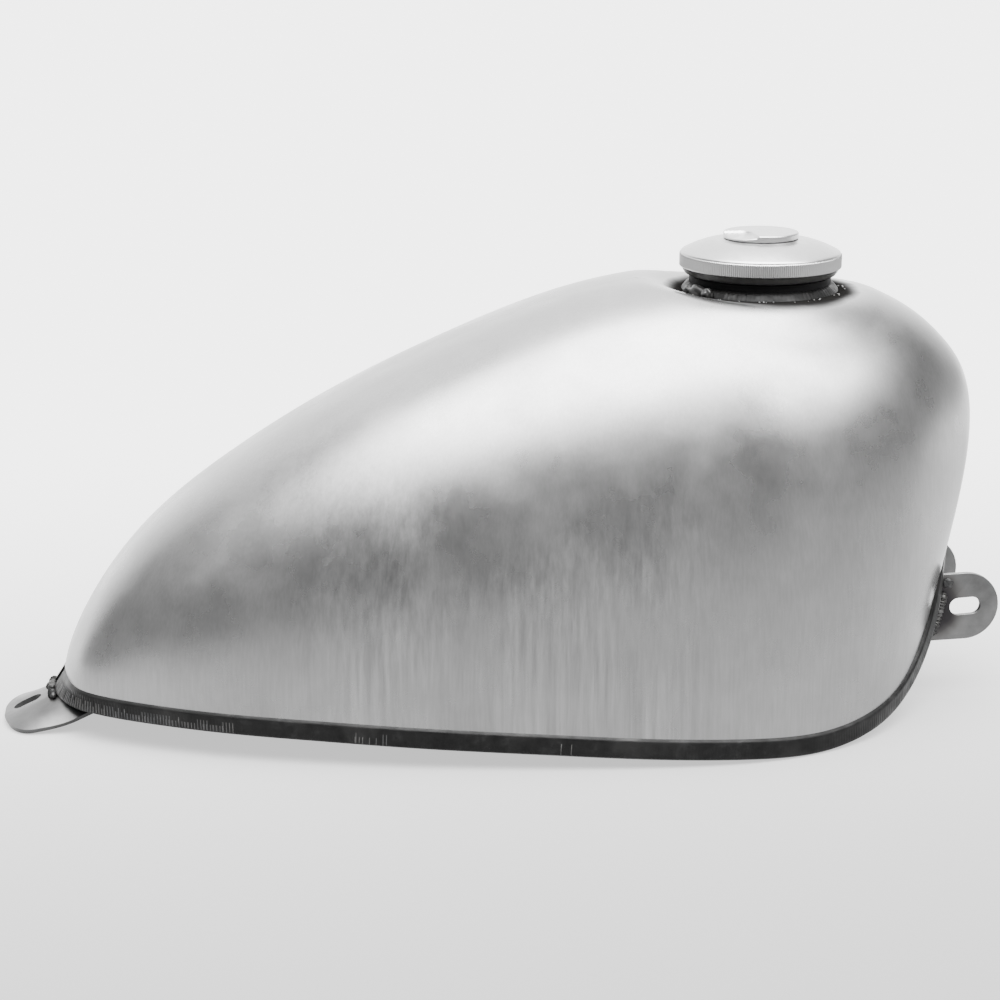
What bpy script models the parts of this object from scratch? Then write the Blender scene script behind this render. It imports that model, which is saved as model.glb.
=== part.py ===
"""Raw-steel motorcycle fuel tank with a screw-in locking filler cap.

Metres, +Z up, +X towards the front of the motorcycle, +Y to its left. The origin is the middle of
the footprint, and z = 0 is the plane that the seam lip and the rear tab rest on.
"""
import bmesh
import bpy
import numpy as np
from math import cos, pi, radians, sin, sqrt
from mathutils import Matrix, Vector
from mathutils.bvhtree import BVHTree

MM = 0.001

# ---- the tank's skin, in millimetres ------------------------------------------------------
# One row for each station from the tail to the front arch of the frame tunnel:
# centreline x and z, seam x, half width and z, and how square the section between them is.
STATIONS = (
    (-218, 24.5, -218, 0, 24.5, 2.00),
    (-214, 38, -213, 27, 24.3, 2.05),
    (-200, 65, -195, 47, 23.8, 2.10),
    (-172, 99, -150, 71, 23, 2.15),
    (-130, 131, -100, 88, 22, 2.20),
    (-80, 160, -50, 100, 20, 2.30),
    (-25, 185, 5, 109, 17.5, 2.40),
    (35, 206.5, 55, 114, 14.5, 2.50),
    (90, 215.5, 100, 114, 12, 2.55),
    (140, 214, 140, 105, 10.4, 2.60),
    (190, 203.5, 172, 87, 14.5, 2.50),
    (219.5, 184, 194, 66, 25, 2.40),
    (233, 166, 208, 50, 47, 2.30),
    (236, 147, 216, 41, 74, 2.20),
    (232, 128, 223, 26, 102, 2.10),
    (229, 115, 229, 0, 115, 2.00),
)
SHEET = 1.5            # steel sheet
GAP = 0.3              # clearance between touching pieces
SEAM_GAP = 1.2         # half the slot between the shells that the top weld fills
END_TRIM = 0.006       # how far along the stations the skin stops short of its two end points
WELD_SINK = 0.25       # the dressed weld lies this far below the skin
SHELL_COLUMNS = 38
SHELL_ROWS = 12

# ---- the seam lip -------------------------------------------------------------------------
JOGGLE_OUT = 1.5       # outward step from the shell to its lip
JOGGLE_DROP = 1.2
LIP_HEIGHT = 9.5
LIP_HEIGHT_TAIL = 8.1
LIP_HEIGHT_ARCH = 6.0
ARCH_LEAN = radians(35)  # how far the lip turns forward round the front arch
TAIL_FLARE = 3.0       # how far the lip leans out round the tail
TAIL_END = 0.14        # station share where the tail's shape has faded out
ARCH_START = 0.78      # station share where the front arch begins
PAN_FLANGE_SHOW = 0.9  # how far the pan's flange reaches past the lip
PAN_BEHIND = 3.7       # how far behind the skin the pan's edge lies round the front arch
PAN_DROP = 4.1         # from the seam down to the belly pan's outer face

# ---- the frame tunnel ---------------------------------------------------------------------
TUNNEL_HALF = 30.5     # inside half width
TUNNEL_TAIL_X = -194
TUNNEL_TAIL_ROOF = 30
TUNNEL_FRONT_ROOF = 104
TUNNEL_COLUMNS = 9
MOUTH_X = 207          # the front mouth's plane: x at height MOUTH_Z, leaning forward
MOUTH_Z = 34
MOUTH_LEAN = 0.235
ARCH_STEPS = 12
LEAST_RISE = 6         # the arch's height where the tunnel is shallowest
BELLY_END = 190        # x where the flat belly ends and the front corner starts
RIM_GAP = 2.0          # between the tunnel's side and the pans, which the weld bridges

# ---- filler neck and cap ------------------------------------------------------------------
NECK_X = 130
NECK_R = 35.0
NECK_BORE = 31.2
NECK_TOP = 213.4
NECK_BOTTOM = 193
DISH_Z = 206           # the level seat pressed round the neck
DISH_FLAT = 38
DISH_END = 66
CAP_R = 40.0
COVER_R = 18.5
COVER_BOTTOM = 231.3
COVER_TOP = 234.5
COVER_PIN = (10.5, 9.5)   # the cover's pivot, from the cap's axis
PIN_CIRCLE = 32.0      # the pins that hold the plug to the cap

# ---- mounting tabs ------------------------------------------------------------------------
TAB_THICK = 2.5
FRONT_TAB_Y = 33
FRONT_TAB_CENTRE = (232.5, 47)
FRONT_TAB_R = 17.4
FRONT_TAB_TILT = radians(3)
SLOT_LENGTH = 15.9
SLOT_WIDTH = 8.8
REAR_TAB_HALF = 29
REAR_TAB_NOSE = -248.5
REAR_TAB_ROOT = -204
REAR_TAB_SHOULDER = -232
REAR_TAB_FLAT = 7      # half width of the level crest round the slot
REAR_SLOPE = 0.445
REAR_CREST = (-223, 13.6)
REAR_SAG = (3.2, 10.6)   # how far its sides drop, at the nose and at the root
REAR_SLOT_X = -237
BUNG = (75, 70)        # petcock bung's place in plan
BUNG_R = 11.0
BUNG_BORE = 5.7

for old in list(bpy.data.objects):
    bpy.data.objects.remove(old, do_unlink=True)

parts = bpy.data.collections.new("fuel_tank")
tools = bpy.data.collections.new("cutters")
bpy.context.scene.collection.children.link(parts)
bpy.context.scene.collection.children.link(tools)


# ---- small helpers ------------------------------------------------------------------------
def material(name, colour, roughness, metallic=1.0):
    made = bpy.data.materials.new(name)
    made.use_nodes = True
    shader = made.node_tree.nodes["Principled BSDF"]
    shader.inputs["Base Color"].default_value = (*colour, 1)
    shader.inputs["Roughness"].default_value = roughness
    shader.inputs["Metallic"].default_value = metallic
    return made


def place(name, mesh, look, collection=parts):
    """Puts a mesh in the scene as one named piece."""
    piece = bpy.data.objects.new(name, mesh)
    collection.objects.link(piece)
    if look:
        mesh.materials.append(look)
    return piece


def smooth(mesh, angle=35):
    mesh.shade_smooth()
    mesh.set_sharp_from_angle(angle=radians(angle))


def mesh_of(name, points, faces):
    """A mesh from points in millimetres."""
    mesh = bpy.data.meshes.new(name)
    mesh.from_pydata([Vector(p) * MM for p in points], [], faces)
    mesh.update()
    smooth(mesh)
    return mesh


def grid_faces(rows, columns, closed=False):
    """Quads over a grid of points laid out row by row."""
    faces = []
    for i in range(rows - 1 + closed):
        for j in range(columns - 1):
            a = i * columns + j
            b = (i + 1) % rows * columns + j
            faces.append((a, b, b + 1, a + 1))
    return faces


def sheet(name, grid, look, thickness=SHEET, offset=-1.0, even=True):
    """An open surface given thickness. Its normals point out of the tank."""
    points = [p for row in grid for p in row]
    piece = place(name, mesh_of(name, points, grid_faces(len(grid), len(grid[0]))), look)
    solid = piece.modifiers.new("thickness", "SOLIDIFY")
    solid.thickness = thickness * MM
    solid.offset = offset
    solid.use_even_offset = even
    return piece


def cut(piece, cutter):
    """Takes the cutter's shape out of the piece."""
    change = piece.modifiers.new("cut_" + cutter.name, "BOOLEAN")
    change.operation = "DIFFERENCE"
    change.object = cutter
    cutter.hide_render = True
    cutter.display_type = "WIRE"


def turned(name, profile, look, centre=(NECK_X, 0), steps=48, collection=parts):
    """A turned piece from a closed outline of (radius, z), its outer side run from top to bottom."""
    points = [(r, 0, z) for r, z in profile]
    bare = bpy.data.meshes.new(name)
    edges = [(i, i + 1) for i in range(len(points) - 1)]
    if min(r for r, _ in profile) > 0:
        edges.append((len(points) - 1, 0))
    bare.from_pydata([Vector(p) * MM for p in points], edges, [])
    piece = place(name, bare, look, collection)
    piece.location = (centre[0] * MM, centre[1] * MM, 0)
    spin = piece.modifiers.new("turn", "SCREW")
    spin.steps = steps
    spin.render_steps = steps
    spin.use_merge_vertices = True
    spin.merge_threshold = 0.00001
    return piece


def plate(name, outlines, thickness, matrix, look, collection=parts):
    """A flat plate from closed outlines in its own plane, the first outside, the others holes."""
    flat = bpy.data.curves.new(name, "CURVE")
    flat.dimensions = "2D"
    flat.fill_mode = "BOTH"
    flat.extrude = thickness * MM / 2
    for outline in outlines:
        spline = flat.splines.new("POLY")
        spline.points.add(len(outline) - 1)
        for point, (x, y) in zip(spline.points, outline):
            point.co = (x * MM, y * MM, 0, 1)
        spline.use_cyclic_u = True
    return solid_from_curve(name, flat, matrix, look, collection)


def rod(name, path, radii, look):
    """A round bead along a path, in millimetres."""
    line = bpy.data.curves.new(name, "CURVE")
    line.dimensions = "3D"
    line.bevel_depth = MM
    line.bevel_resolution = 2
    line.use_fill_caps = True
    spline = line.splines.new("POLY")
    spline.points.add(len(path) - 1)
    for point, place_at, radius in zip(spline.points, path, radii):
        point.co = (*(Vector(place_at) * MM), 1)
        point.radius = radius
    return solid_from_curve(name, line, Matrix.Identity(4), look, parts)


def solid_from_curve(name, curve, matrix, look, collection):
    """Turns a curve into a closed mesh with its caps welded."""
    guide = bpy.data.objects.new(name + "_curve", curve)
    collection.objects.link(guide)
    seen = guide.evaluated_get(bpy.context.evaluated_depsgraph_get())
    mesh = bpy.data.meshes.new_from_object(seen)
    bpy.data.objects.remove(guide, do_unlink=True)
    shape = bmesh.new()
    shape.from_mesh(mesh)
    bmesh.ops.remove_doubles(shape, verts=shape.verts, dist=0.00001)
    bmesh.ops.recalc_face_normals(shape, faces=shape.faces)
    shape.to_mesh(mesh)
    shape.free()
    mesh.name = name
    smooth(mesh)
    piece = place(name, mesh, look, collection)
    piece.matrix_world = matrix
    return piece


def box(name, low, high, look=None, collection=tools):
    """A block between two corners, in millimetres."""
    bpy.ops.mesh.primitive_cube_add(size=1)
    piece = bpy.context.object
    piece.name = name
    middle = (Vector(low) + Vector(high)) / 2
    piece.data.transform(Matrix.Diagonal((*((Vector(high) - Vector(low)) * MM), 1)))
    piece.location = middle * MM
    for holder in list(piece.users_collection):
        holder.objects.unlink(piece)
    collection.objects.link(piece)
    if look:
        piece.data.materials.append(look)
    return piece


def cylinder(name, radius, low, high, centre, look=None, collection=tools, sides=32):
    """An upright cylinder, in millimetres."""
    bpy.ops.mesh.primitive_cylinder_add(vertices=sides, radius=radius * MM, depth=(high - low) * MM)
    piece = bpy.context.object
    piece.name = name
    piece.location = (centre[0] * MM, centre[1] * MM, (low + high) / 2 * MM)
    for holder in list(piece.users_collection):
        holder.objects.unlink(piece)
    collection.objects.link(piece)
    smooth(piece.data)
    if look:
        piece.data.materials.append(look)
    return piece


def ring(outer, inner, high, low):
    """The turned outline of a plain ring."""
    return [(inner, high), (outer, high), (outer, low), (inner, low)]


def stadium(centre, length, width, tilt=0.0, steps=8):
    """The outline of a slot with round ends."""
    reach = (length - width) / 2
    outline = []
    for end, start in ((1, -pi / 2), (-1, pi / 2)):
        for k in range(steps + 1):
            turn = start + pi * k / steps
            x = end * reach + width / 2 * cos(turn)
            y = width / 2 * sin(turn)
            outline.append((centre[0] + x * cos(tilt) - y * sin(tilt),
                            centre[1] + x * sin(tilt) + y * cos(tilt)))
    return outline


def fade(value, start, end):
    """0 at start, 1 at end, smooth between."""
    share = min(1.0, max(0.0, (value - start) / (end - start)))
    return share * share * (3 - 2 * share)


def mix(a, b, share):
    return a + (b - a) * share


# ---- the tank's surface -------------------------------------------------------------------
def natural_spline(rows):
    """Second derivatives of the smooth curve through evenly spaced rows."""
    values = np.array(rows, float)
    count = len(values)
    system = np.eye(count)
    right = np.zeros_like(values)
    for i in range(1, count - 1):
        system[i, i - 1:i + 2] = (1, 4, 1)
        right[i] = 6 * (values[i + 1] - 2 * values[i] + values[i - 1])
    return values, np.linalg.solve(system, right)


SPLINE, BEND = natural_spline(STATIONS)


def station(u):
    """The station row at a share u of the way from the tail to the front arch."""
    place_on = u * (len(SPLINE) - 1)
    i = min(int(place_on), len(SPLINE) - 2)
    t = place_on - i
    s = 1 - t
    return (SPLINE[i] * s + SPLINE[i + 1] * t
            + BEND[i] * (s ** 3 - s) / 6 + BEND[i + 1] * (t ** 3 - t) / 6)


def spread(y):
    """Moves a half width out of the slot that the top weld fills."""
    widest = 115
    return SEAM_GAP + y * (widest - SEAM_GAP) / widest


def dished(x, y, z):
    """Presses the level seat round the filler neck into the crown."""
    away = Vector((x - NECK_X, y)).length
    return mix(DISH_Z, z, fade(away, DISH_FLAT, DISH_END)) if z > DISH_Z / 2 else z


def skin(u, turn):
    """A point of the right-hand skin: turn runs from 0 at the centreline to 90 degrees at the seam."""
    px, pz, sx, sy, sz, full = station(u)
    across = sin(turn) ** (2 / full)
    down = 1 - max(0.0, cos(turn)) ** (2 / full)
    x = px + (sx - px) * down
    y = spread(sy * across)
    return Vector((x, -y, dished(x, y, pz + (sz - pz) * down)))


def seam_frame(u):
    """The seam point, the outward normal there and the direction the lip runs."""
    step = 0.002
    here = skin(u, pi / 2)
    along = (skin(min(1.0, u + step), pi / 2) - skin(max(0.0, u - step), pi / 2)).normalized()
    px, pz, sx, sy, sz, full = station(u)
    down = Vector((sx - px, 0, sz - pz)).normalized()
    out = down.cross(along).normalized()
    if out.dot(here - Vector((0, 0, 60))) < 0:
        out = -out
    drop = along.cross(out).normalized()
    if drop.dot(down) < 0:
        drop = -drop
    return here, out, drop


def lip_frame(u):
    """The seam point with the lip's own normal and direction: it leans forward round the arch."""
    here, out, drop = seam_frame(u)
    turn = ARCH_LEAN * arch_share(u)
    return here, out * cos(turn) - drop * sin(turn), drop * cos(turn) + out * sin(turn)


def arch_share(u):
    """0 along the belly and 1 round the front arch."""
    return fade(u, ARCH_START - 0.08, ARCH_START + 0.06)


def lip_size(u):
    """How tall the lip is and how far its edge leans out."""
    tail = 1 - fade(u, 0, TAIL_END)
    tall = mix(mix(LIP_HEIGHT, LIP_HEIGHT_TAIL, tail), LIP_HEIGHT_ARCH, arch_share(u))
    return tall, JOGGLE_OUT + TAIL_FLARE * tail


def lip_edge(u, inward, past=0.0):
    """A point on the lip's lower edge, moved inward through the sheet and past the edge."""
    here, out, drop = lip_frame(u)
    tall, lean = lip_size(u)
    return here + out * (lean - inward) + drop * (tall + past)


def mirrored(grid):
    """The same surface on the left of the tank, still facing out."""
    return [[Vector((p.x, -p.y, p.z)) for p in reversed(row)] for row in grid]


def shares(count):
    return [END_TRIM + (1 - 2 * END_TRIM) * i / (count - 1) for i in range(count)]


# ---- the tank's pieces --------------------------------------------------------------------
def build_shells():
    """The two pressed halves, each with its joggled, down-turned lip."""
    grid = []
    for u in shares(SHELL_COLUMNS):
        row = [skin(u, pi / 2 * j / SHELL_ROWS) for j in range(SHELL_ROWS + 1)]
        here, out, drop = lip_frame(u)
        row.append(here + out * JOGGLE_OUT + drop * JOGGLE_DROP)
        row.append(lip_edge(u, 0))
        grid.append(row)
    hole = cylinder("neck_hole", NECK_R + GAP, DISH_Z - 60, DISH_Z + 60, (NECK_X, 0), sides=64)
    flat = [list(reversed(row)) for row in grid]
    right = sheet("right_shell", flat, steel("right_shell_steel", 0.62))
    left = sheet("left_shell", mirrored(flat), steel("left_shell_steel", 0.61))
    for shell in (left, right):
        cut(shell, hole)
    return grid


def steel(name, level, roughness=0.38):
    return material(name, (level, level, level * 1.01), roughness)


def build_top_weld(name, start, end, steps):
    """The dressed weld strip that fills the slot between the shells."""
    half = SEAM_GAP - GAP
    rows = []
    for i in range(steps + 1):
        u = mix(start, end, i / steps)
        step = 0.002
        ahead = skin(u + step, 0) - skin(u - step, 0)
        up = Vector((-ahead.z, 0, ahead.x)).normalized()
        top = skin(u, 0) - up * WELD_SINK
        low = top - up * (SHEET - WELD_SINK)
        rows.append([Vector((top.x, -half, top.z)), Vector((top.x, half, top.z)),
                     Vector((low.x, half, low.z)), Vector((low.x, -half, low.z))])
    points = [p for row in rows for p in row]
    faces = [(0, 1, 2, 3)]
    for i in range(steps):
        for j in range(4):
            a = 4 * i + j
            b = 4 * i + (j + 1) % 4
            faces.append((a, a + 4, b + 4, b))
    faces.append((4 * steps + 3, 4 * steps + 2, 4 * steps + 1, 4 * steps))
    return place(name, mesh_of(name, points, faces), steel(name + "_metal", 0.5, 0.45))


def share_at(x):
    """The share u, over the crown, where the centreline is at x."""
    low, high = 0.1, 0.72
    for _ in range(40):
        middle = (low + high) / 2
        if station(middle)[0] < x:
            low = middle
        else:
            high = middle
    return low


def mouth_x(z):
    """How far forward the tunnel's front mouth reaches at a height."""
    return MOUTH_X + MOUTH_LEAN * (z - MOUTH_Z)


def roof(x):
    """The tunnel's inside roof height."""
    far = (x - TUNNEL_TAIL_X) / (mouth_x(TUNNEL_FRONT_ROOF) - TUNNEL_TAIL_X)
    return mix(TUNNEL_TAIL_ROOF, TUNNEL_FRONT_ROOF, far)


def seam_z(x):
    """The belly's height beside the tunnel."""
    low, high = 0.0, 0.72
    for _ in range(30):
        middle = (low + high) / 2
        if station(middle)[2] < x:
            low = middle
        else:
            high = middle
    return station(low)[4] - PAN_DROP


def spring_line(x):
    """Where the tunnel's upright sides turn into its arch, and how tall the arch is."""
    rise = min(TUNNEL_HALF, max(LEAST_RISE, roof(x) - seam_z(min(x, BELLY_END))))
    return roof(x) - rise, rise


def tunnel_section(x):
    """The tunnel's inside section, from one bottom edge over the roof to the other."""
    spring, rise = spring_line(x)
    low = min(seam_z(min(x, BELLY_END)), spring) - SHEET
    right_side = [(-TUNNEL_HALF, mix(low, spring, k / 2)) for k in range(2)]
    arc = [(-TUNNEL_HALF * cos(pi * k / ARCH_STEPS), spring + rise * sin(pi * k / ARCH_STEPS))
           for k in range(ARCH_STEPS + 1)]
    left_side = [(-y, z) for y, z in reversed(right_side)]
    return right_side + arc + left_side


def build_tunnel():
    """The arched channel for the frame's backbone. Its front edge lies in the leaning mouth."""
    rows = []
    for i in range(TUNNEL_COLUMNS + 1):
        far = i / TUNNEL_COLUMNS
        row = []
        for k, (y, z) in enumerate(tunnel_section(mix(TUNNEL_TAIL_X, MOUTH_X, far))):
            x = mix(TUNNEL_TAIL_X, mouth_x(z), far)
            y, z = tunnel_section(x)[k]
            row.append(Vector((x, y, z)))
        rows.append(row)
    sheet("frame_tunnel", rows, steel("tunnel_steel", 0.42, 0.5), offset=1.0)


def tunnel_rim(u):
    """The pan's inner edge: round the rear mouth, along the tunnel's side, round the front mouth."""
    clear = SHEET + RIM_GAP
    half = TUNNEL_HALF + clear
    side_end = ARCH_START - 0.04
    if u < TAIL_END:
        turn = pi / 2 * u / TAIL_END
        x = TUNNEL_TAIL_X + 1
        spring, rise = spring_line(x)
        return Vector((x, -half * sin(turn), spring + (rise + clear) * cos(turn)))
    low = seam_z(BELLY_END)
    if u < side_end:
        along = fade_free(u, TAIL_END, side_end)
        x = mix(TUNNEL_TAIL_X + 1, mouth_x(low) - 1, along)
        level = mix(spring_line(TUNNEL_TAIL_X)[0], seam_z(min(x, BELLY_END)), fade(along, 0, 0.12))
        return Vector((x, -half, level))
    climb = fade_free(u, side_end, 1)
    spring, rise = spring_line(mouth_x(TUNNEL_FRONT_ROOF))
    straight = spring - low
    travel = climb * (straight + half * pi / 2)
    z = low + travel
    y = half
    if travel > straight:
        turn = (travel - straight) / half
        z = spring + (rise + clear) * sin(turn)
        y = half * cos(turn)
    return Vector((mouth_x(z) - 1, -y, z))


def fade_free(value, start, end):
    return (value - start) / (end - start)


def build_pans():
    """The two belly pans, each from its flange inside the lip to the tunnel."""
    inner = 2 * SHEET + GAP
    grid = []
    for u in shares(SHELL_COLUMNS):
        here, out, drop = seam_frame(u)
        show = PAN_FLANGE_SHOW * fade(u, 0.02, TAIL_END)
        behind = here - out * PAN_BEHIND
        foot = lip_edge(u, inner, show).lerp(behind + drop * SHEET, arch_share(u))
        corner = here + out * (JOGGLE_OUT - inner) + drop * PAN_DROP
        corner = corner.lerp(behind + drop * (PAN_DROP + SHEET), arch_share(u))
        rim = tunnel_rim(u)
        row = [foot, corner]
        row += [corner.lerp(rim, k / 3) for k in (1, 2, 3)]
        for point in row:
            point.y = min(point.y, -GAP / 2)
        grid.append(row)
    flat = [list(reversed(row)) for row in grid]
    sheet("right_belly_pan", flat, steel("right_pan_steel", 0.4, 0.5), even=False)
    left = sheet("left_belly_pan", mirrored(flat), steel("left_pan_steel", 0.4, 0.5), even=False)
    hole = cylinder("bung_hole", BUNG_R + GAP, -20, 60, BUNG)
    cut(left, hole)


def build_neck(shell_grid):
    """The filler neck and the weld ring that joins it to the shells."""
    outline = ring(NECK_R, NECK_BORE, NECK_TOP, NECK_BOTTOM)
    neck = turned("filler_neck", outline, material("neck_black", (0.03, 0.03, 0.032), 0.5), steps=48)
    notch = box("neck_notch", (NECK_X + 28, -4.2, NECK_BOTTOM - 3), (NECK_X + 38, 4.2, NECK_BOTTOM + 5))
    cut(neck, notch)
    points = [p for row in shell_grid for p in row[:SHELL_ROWS + 1]]
    points += [Vector((p.x, -p.y, p.z)) for p in points]
    count = len(shell_grid) * (SHELL_ROWS + 1)
    quads = grid_faces(len(shell_grid), SHELL_ROWS + 1)
    quads += [tuple(i + count for i in quad) for quad in quads]
    quads += [(j * (SHELL_ROWS + 1), (j + 1) * (SHELL_ROWS + 1),
               (j + 1) * (SHELL_ROWS + 1) + count, j * (SHELL_ROWS + 1) + count)
              for j in range(len(shell_grid) - 1)]
    crown = BVHTree.FromPolygons(points, quads)
    rings = []
    for k in range(64):
        turn = 2 * pi * k / 64
        lump = max(0.0, cos(turn - radians(205))) ** 40
        ripple = 0.18 * sin(13 * turn)
        profile = ((NECK_R + GAP, 3.2 + lump), (NECK_R + 1.7 + lump, 2.9 + ripple + 2 * lump),
                   (NECK_R + 3.1 + 2 * lump + ripple, 1.3 + lump), (NECK_R + 3.9 + 2.6 * lump, GAP),
                   (NECK_R + GAP, GAP))
        row = []
        for radius, height in profile:
            x = NECK_X + radius * cos(turn)
            y = radius * sin(turn)
            spot = crown.ray_cast(Vector((x, y, 300)), Vector((0, 0, -1)))[0]
            row.append(Vector((x, y, spot.z + height)))
        rings.append(row)
    points = [p for row in rings for p in row]
    faces = []
    for i in range(64):
        for j in range(5):
            a = i * 5
            b = (i + 1) % 64 * 5
            faces.append((a + j, a + (j + 1) % 5, b + (j + 1) % 5, b + j))
    place("filler_neck_weld", mesh_of("filler_neck_weld", points, faces),
          material("neck_weld_metal", (0.09, 0.085, 0.08), 0.5))


def build_front_tab(name, side):
    """A slotted plate that stands forward from the tunnel's mouth, and its weld bead."""
    cx, cz = FRONT_TAB_CENTRE
    outline = []
    for k in range(17):
        turn = -pi / 2 + pi * k / 16 + FRONT_TAB_TILT
        outline.append((cx + FRONT_TAB_R * cos(turn), cz + FRONT_TAB_R * sin(turn)))
    for z in (cz + FRONT_TAB_R - 0.6, cz - FRONT_TAB_R - 0.6):
        outline.append((mouth_x(z) + 0.5, z))
    slot = stadium(FRONT_TAB_CENTRE, SLOT_LENGTH, SLOT_WIDTH, FRONT_TAB_TILT)
    upright = Matrix.Translation((0, side * FRONT_TAB_Y * MM, 0)) @ Matrix.Rotation(pi / 2, 4, "X")
    plate(name, (outline, slot), TAB_THICK, upright, steel(name + "_steel", 0.35))
    path = []
    radii = []
    for k in range(13):
        z = mix(cz - 15, cz + 13, k / 12)
        radius = 1.7 + 0.15 * sin(2.4 * k) + 0.6 * fade(k, 10, 12)
        y = FRONT_TAB_Y + TAB_THICK / 2 + GAP + radius
        path.append((mouth_x(z) + 0.7 + radius, side * y, z))
        radii.append(radius)
    rod(name + "_weld", path, radii, material(name + "_weld_metal", (0.1, 0.095, 0.09), 0.45))


def rear_tab_z(x, y):
    """Height of the rear tab's top face: a level crest with rounded shoulders."""
    crest = REAR_CREST[1] + REAR_SLOPE * (x - REAR_CREST[0])
    far = fade_free(x, REAR_TAB_NOSE, REAR_TAB_ROOT)
    sag = mix(REAR_SAG[0], REAR_SAG[1], fade(far, 0.0, 0.8))
    over = max(0.0, (abs(y) - REAR_TAB_FLAT) / (REAR_TAB_HALF - REAR_TAB_FLAT))
    return crest - sag * over ** 1.6


def build_rear_tab():
    """The arched tongue at the tail with its slot, and the bead that joins it to the lip."""
    rows = []
    nose = REAR_TAB_SHOULDER - REAR_TAB_NOSE
    columns = 12
    for i in range(columns + 1):
        far = i / columns
        x = mix(REAR_TAB_NOSE + 0.15, REAR_TAB_ROOT, far ** 1.5)
        ahead = max(0.0, (REAR_TAB_SHOULDER - x) / nose)
        half = REAR_TAB_HALF * sqrt(max(0.0, 1 - ahead ** 2.4))
        row = []
        for j in range(-6, 7):
            y = half * j / 6
            if half > 2 * REAR_TAB_FLAT:
                side = 1 if j > 0 else -1
                inner = REAR_TAB_FLAT * min(abs(j), 2) / 2
                y = side * (inner + (half - REAR_TAB_FLAT) * max(0, abs(j) - 2) / 4)
            row.append(Vector((x, y, rear_tab_z(x, y))))
        rows.append(row)
    tab = sheet("rear_tab", rows, steel("rear_tab_steel", 0.45), TAB_THICK, offset=-1.0)
    slot = stadium((REAR_SLOT_X, 0), SLOT_LENGTH * 0.85, SLOT_WIDTH)
    cutter = plate("rear_slot", (slot,), 60, Matrix.Translation((0, 0, 10 * MM)), None, tools)
    cut(tab, cutter)
    path = []
    radii = []
    for k in range(-7, 8):
        radius = 1.9 + 0.25 * cos(2.1 * k)
        x = REAR_CREST[0] - 3.2 + 0.012 * k * k
        y = 1.9 * k
        path.append((x, y, rear_tab_z(x, y) + GAP + radius * 1.25))
        radii.append(radius)
    rod("rear_tab_weld", path, radii, material("rear_weld_metal", (0.12, 0.115, 0.11), 0.45))


def build_bung():
    """The threaded bung for the petcock, through the left pan, and its weld."""
    flat = seam_z(BUNG[0])
    low = flat - 6
    outline = ring(BUNG_R, BUNG_BORE, flat + 8, low)
    turned("petcock_bung", outline, steel("bung_steel", 0.45, 0.4), BUNG, 32)
    under = flat - 3.2
    weld = [(BUNG_R + GAP, under), (BUNG_R + 3, under), (BUNG_R + GAP, under - 2.4)]
    turned("petcock_bung_weld", weld, material("bung_weld_metal", (0.12, 0.12, 0.12), 0.5), BUNG, 32)


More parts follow.
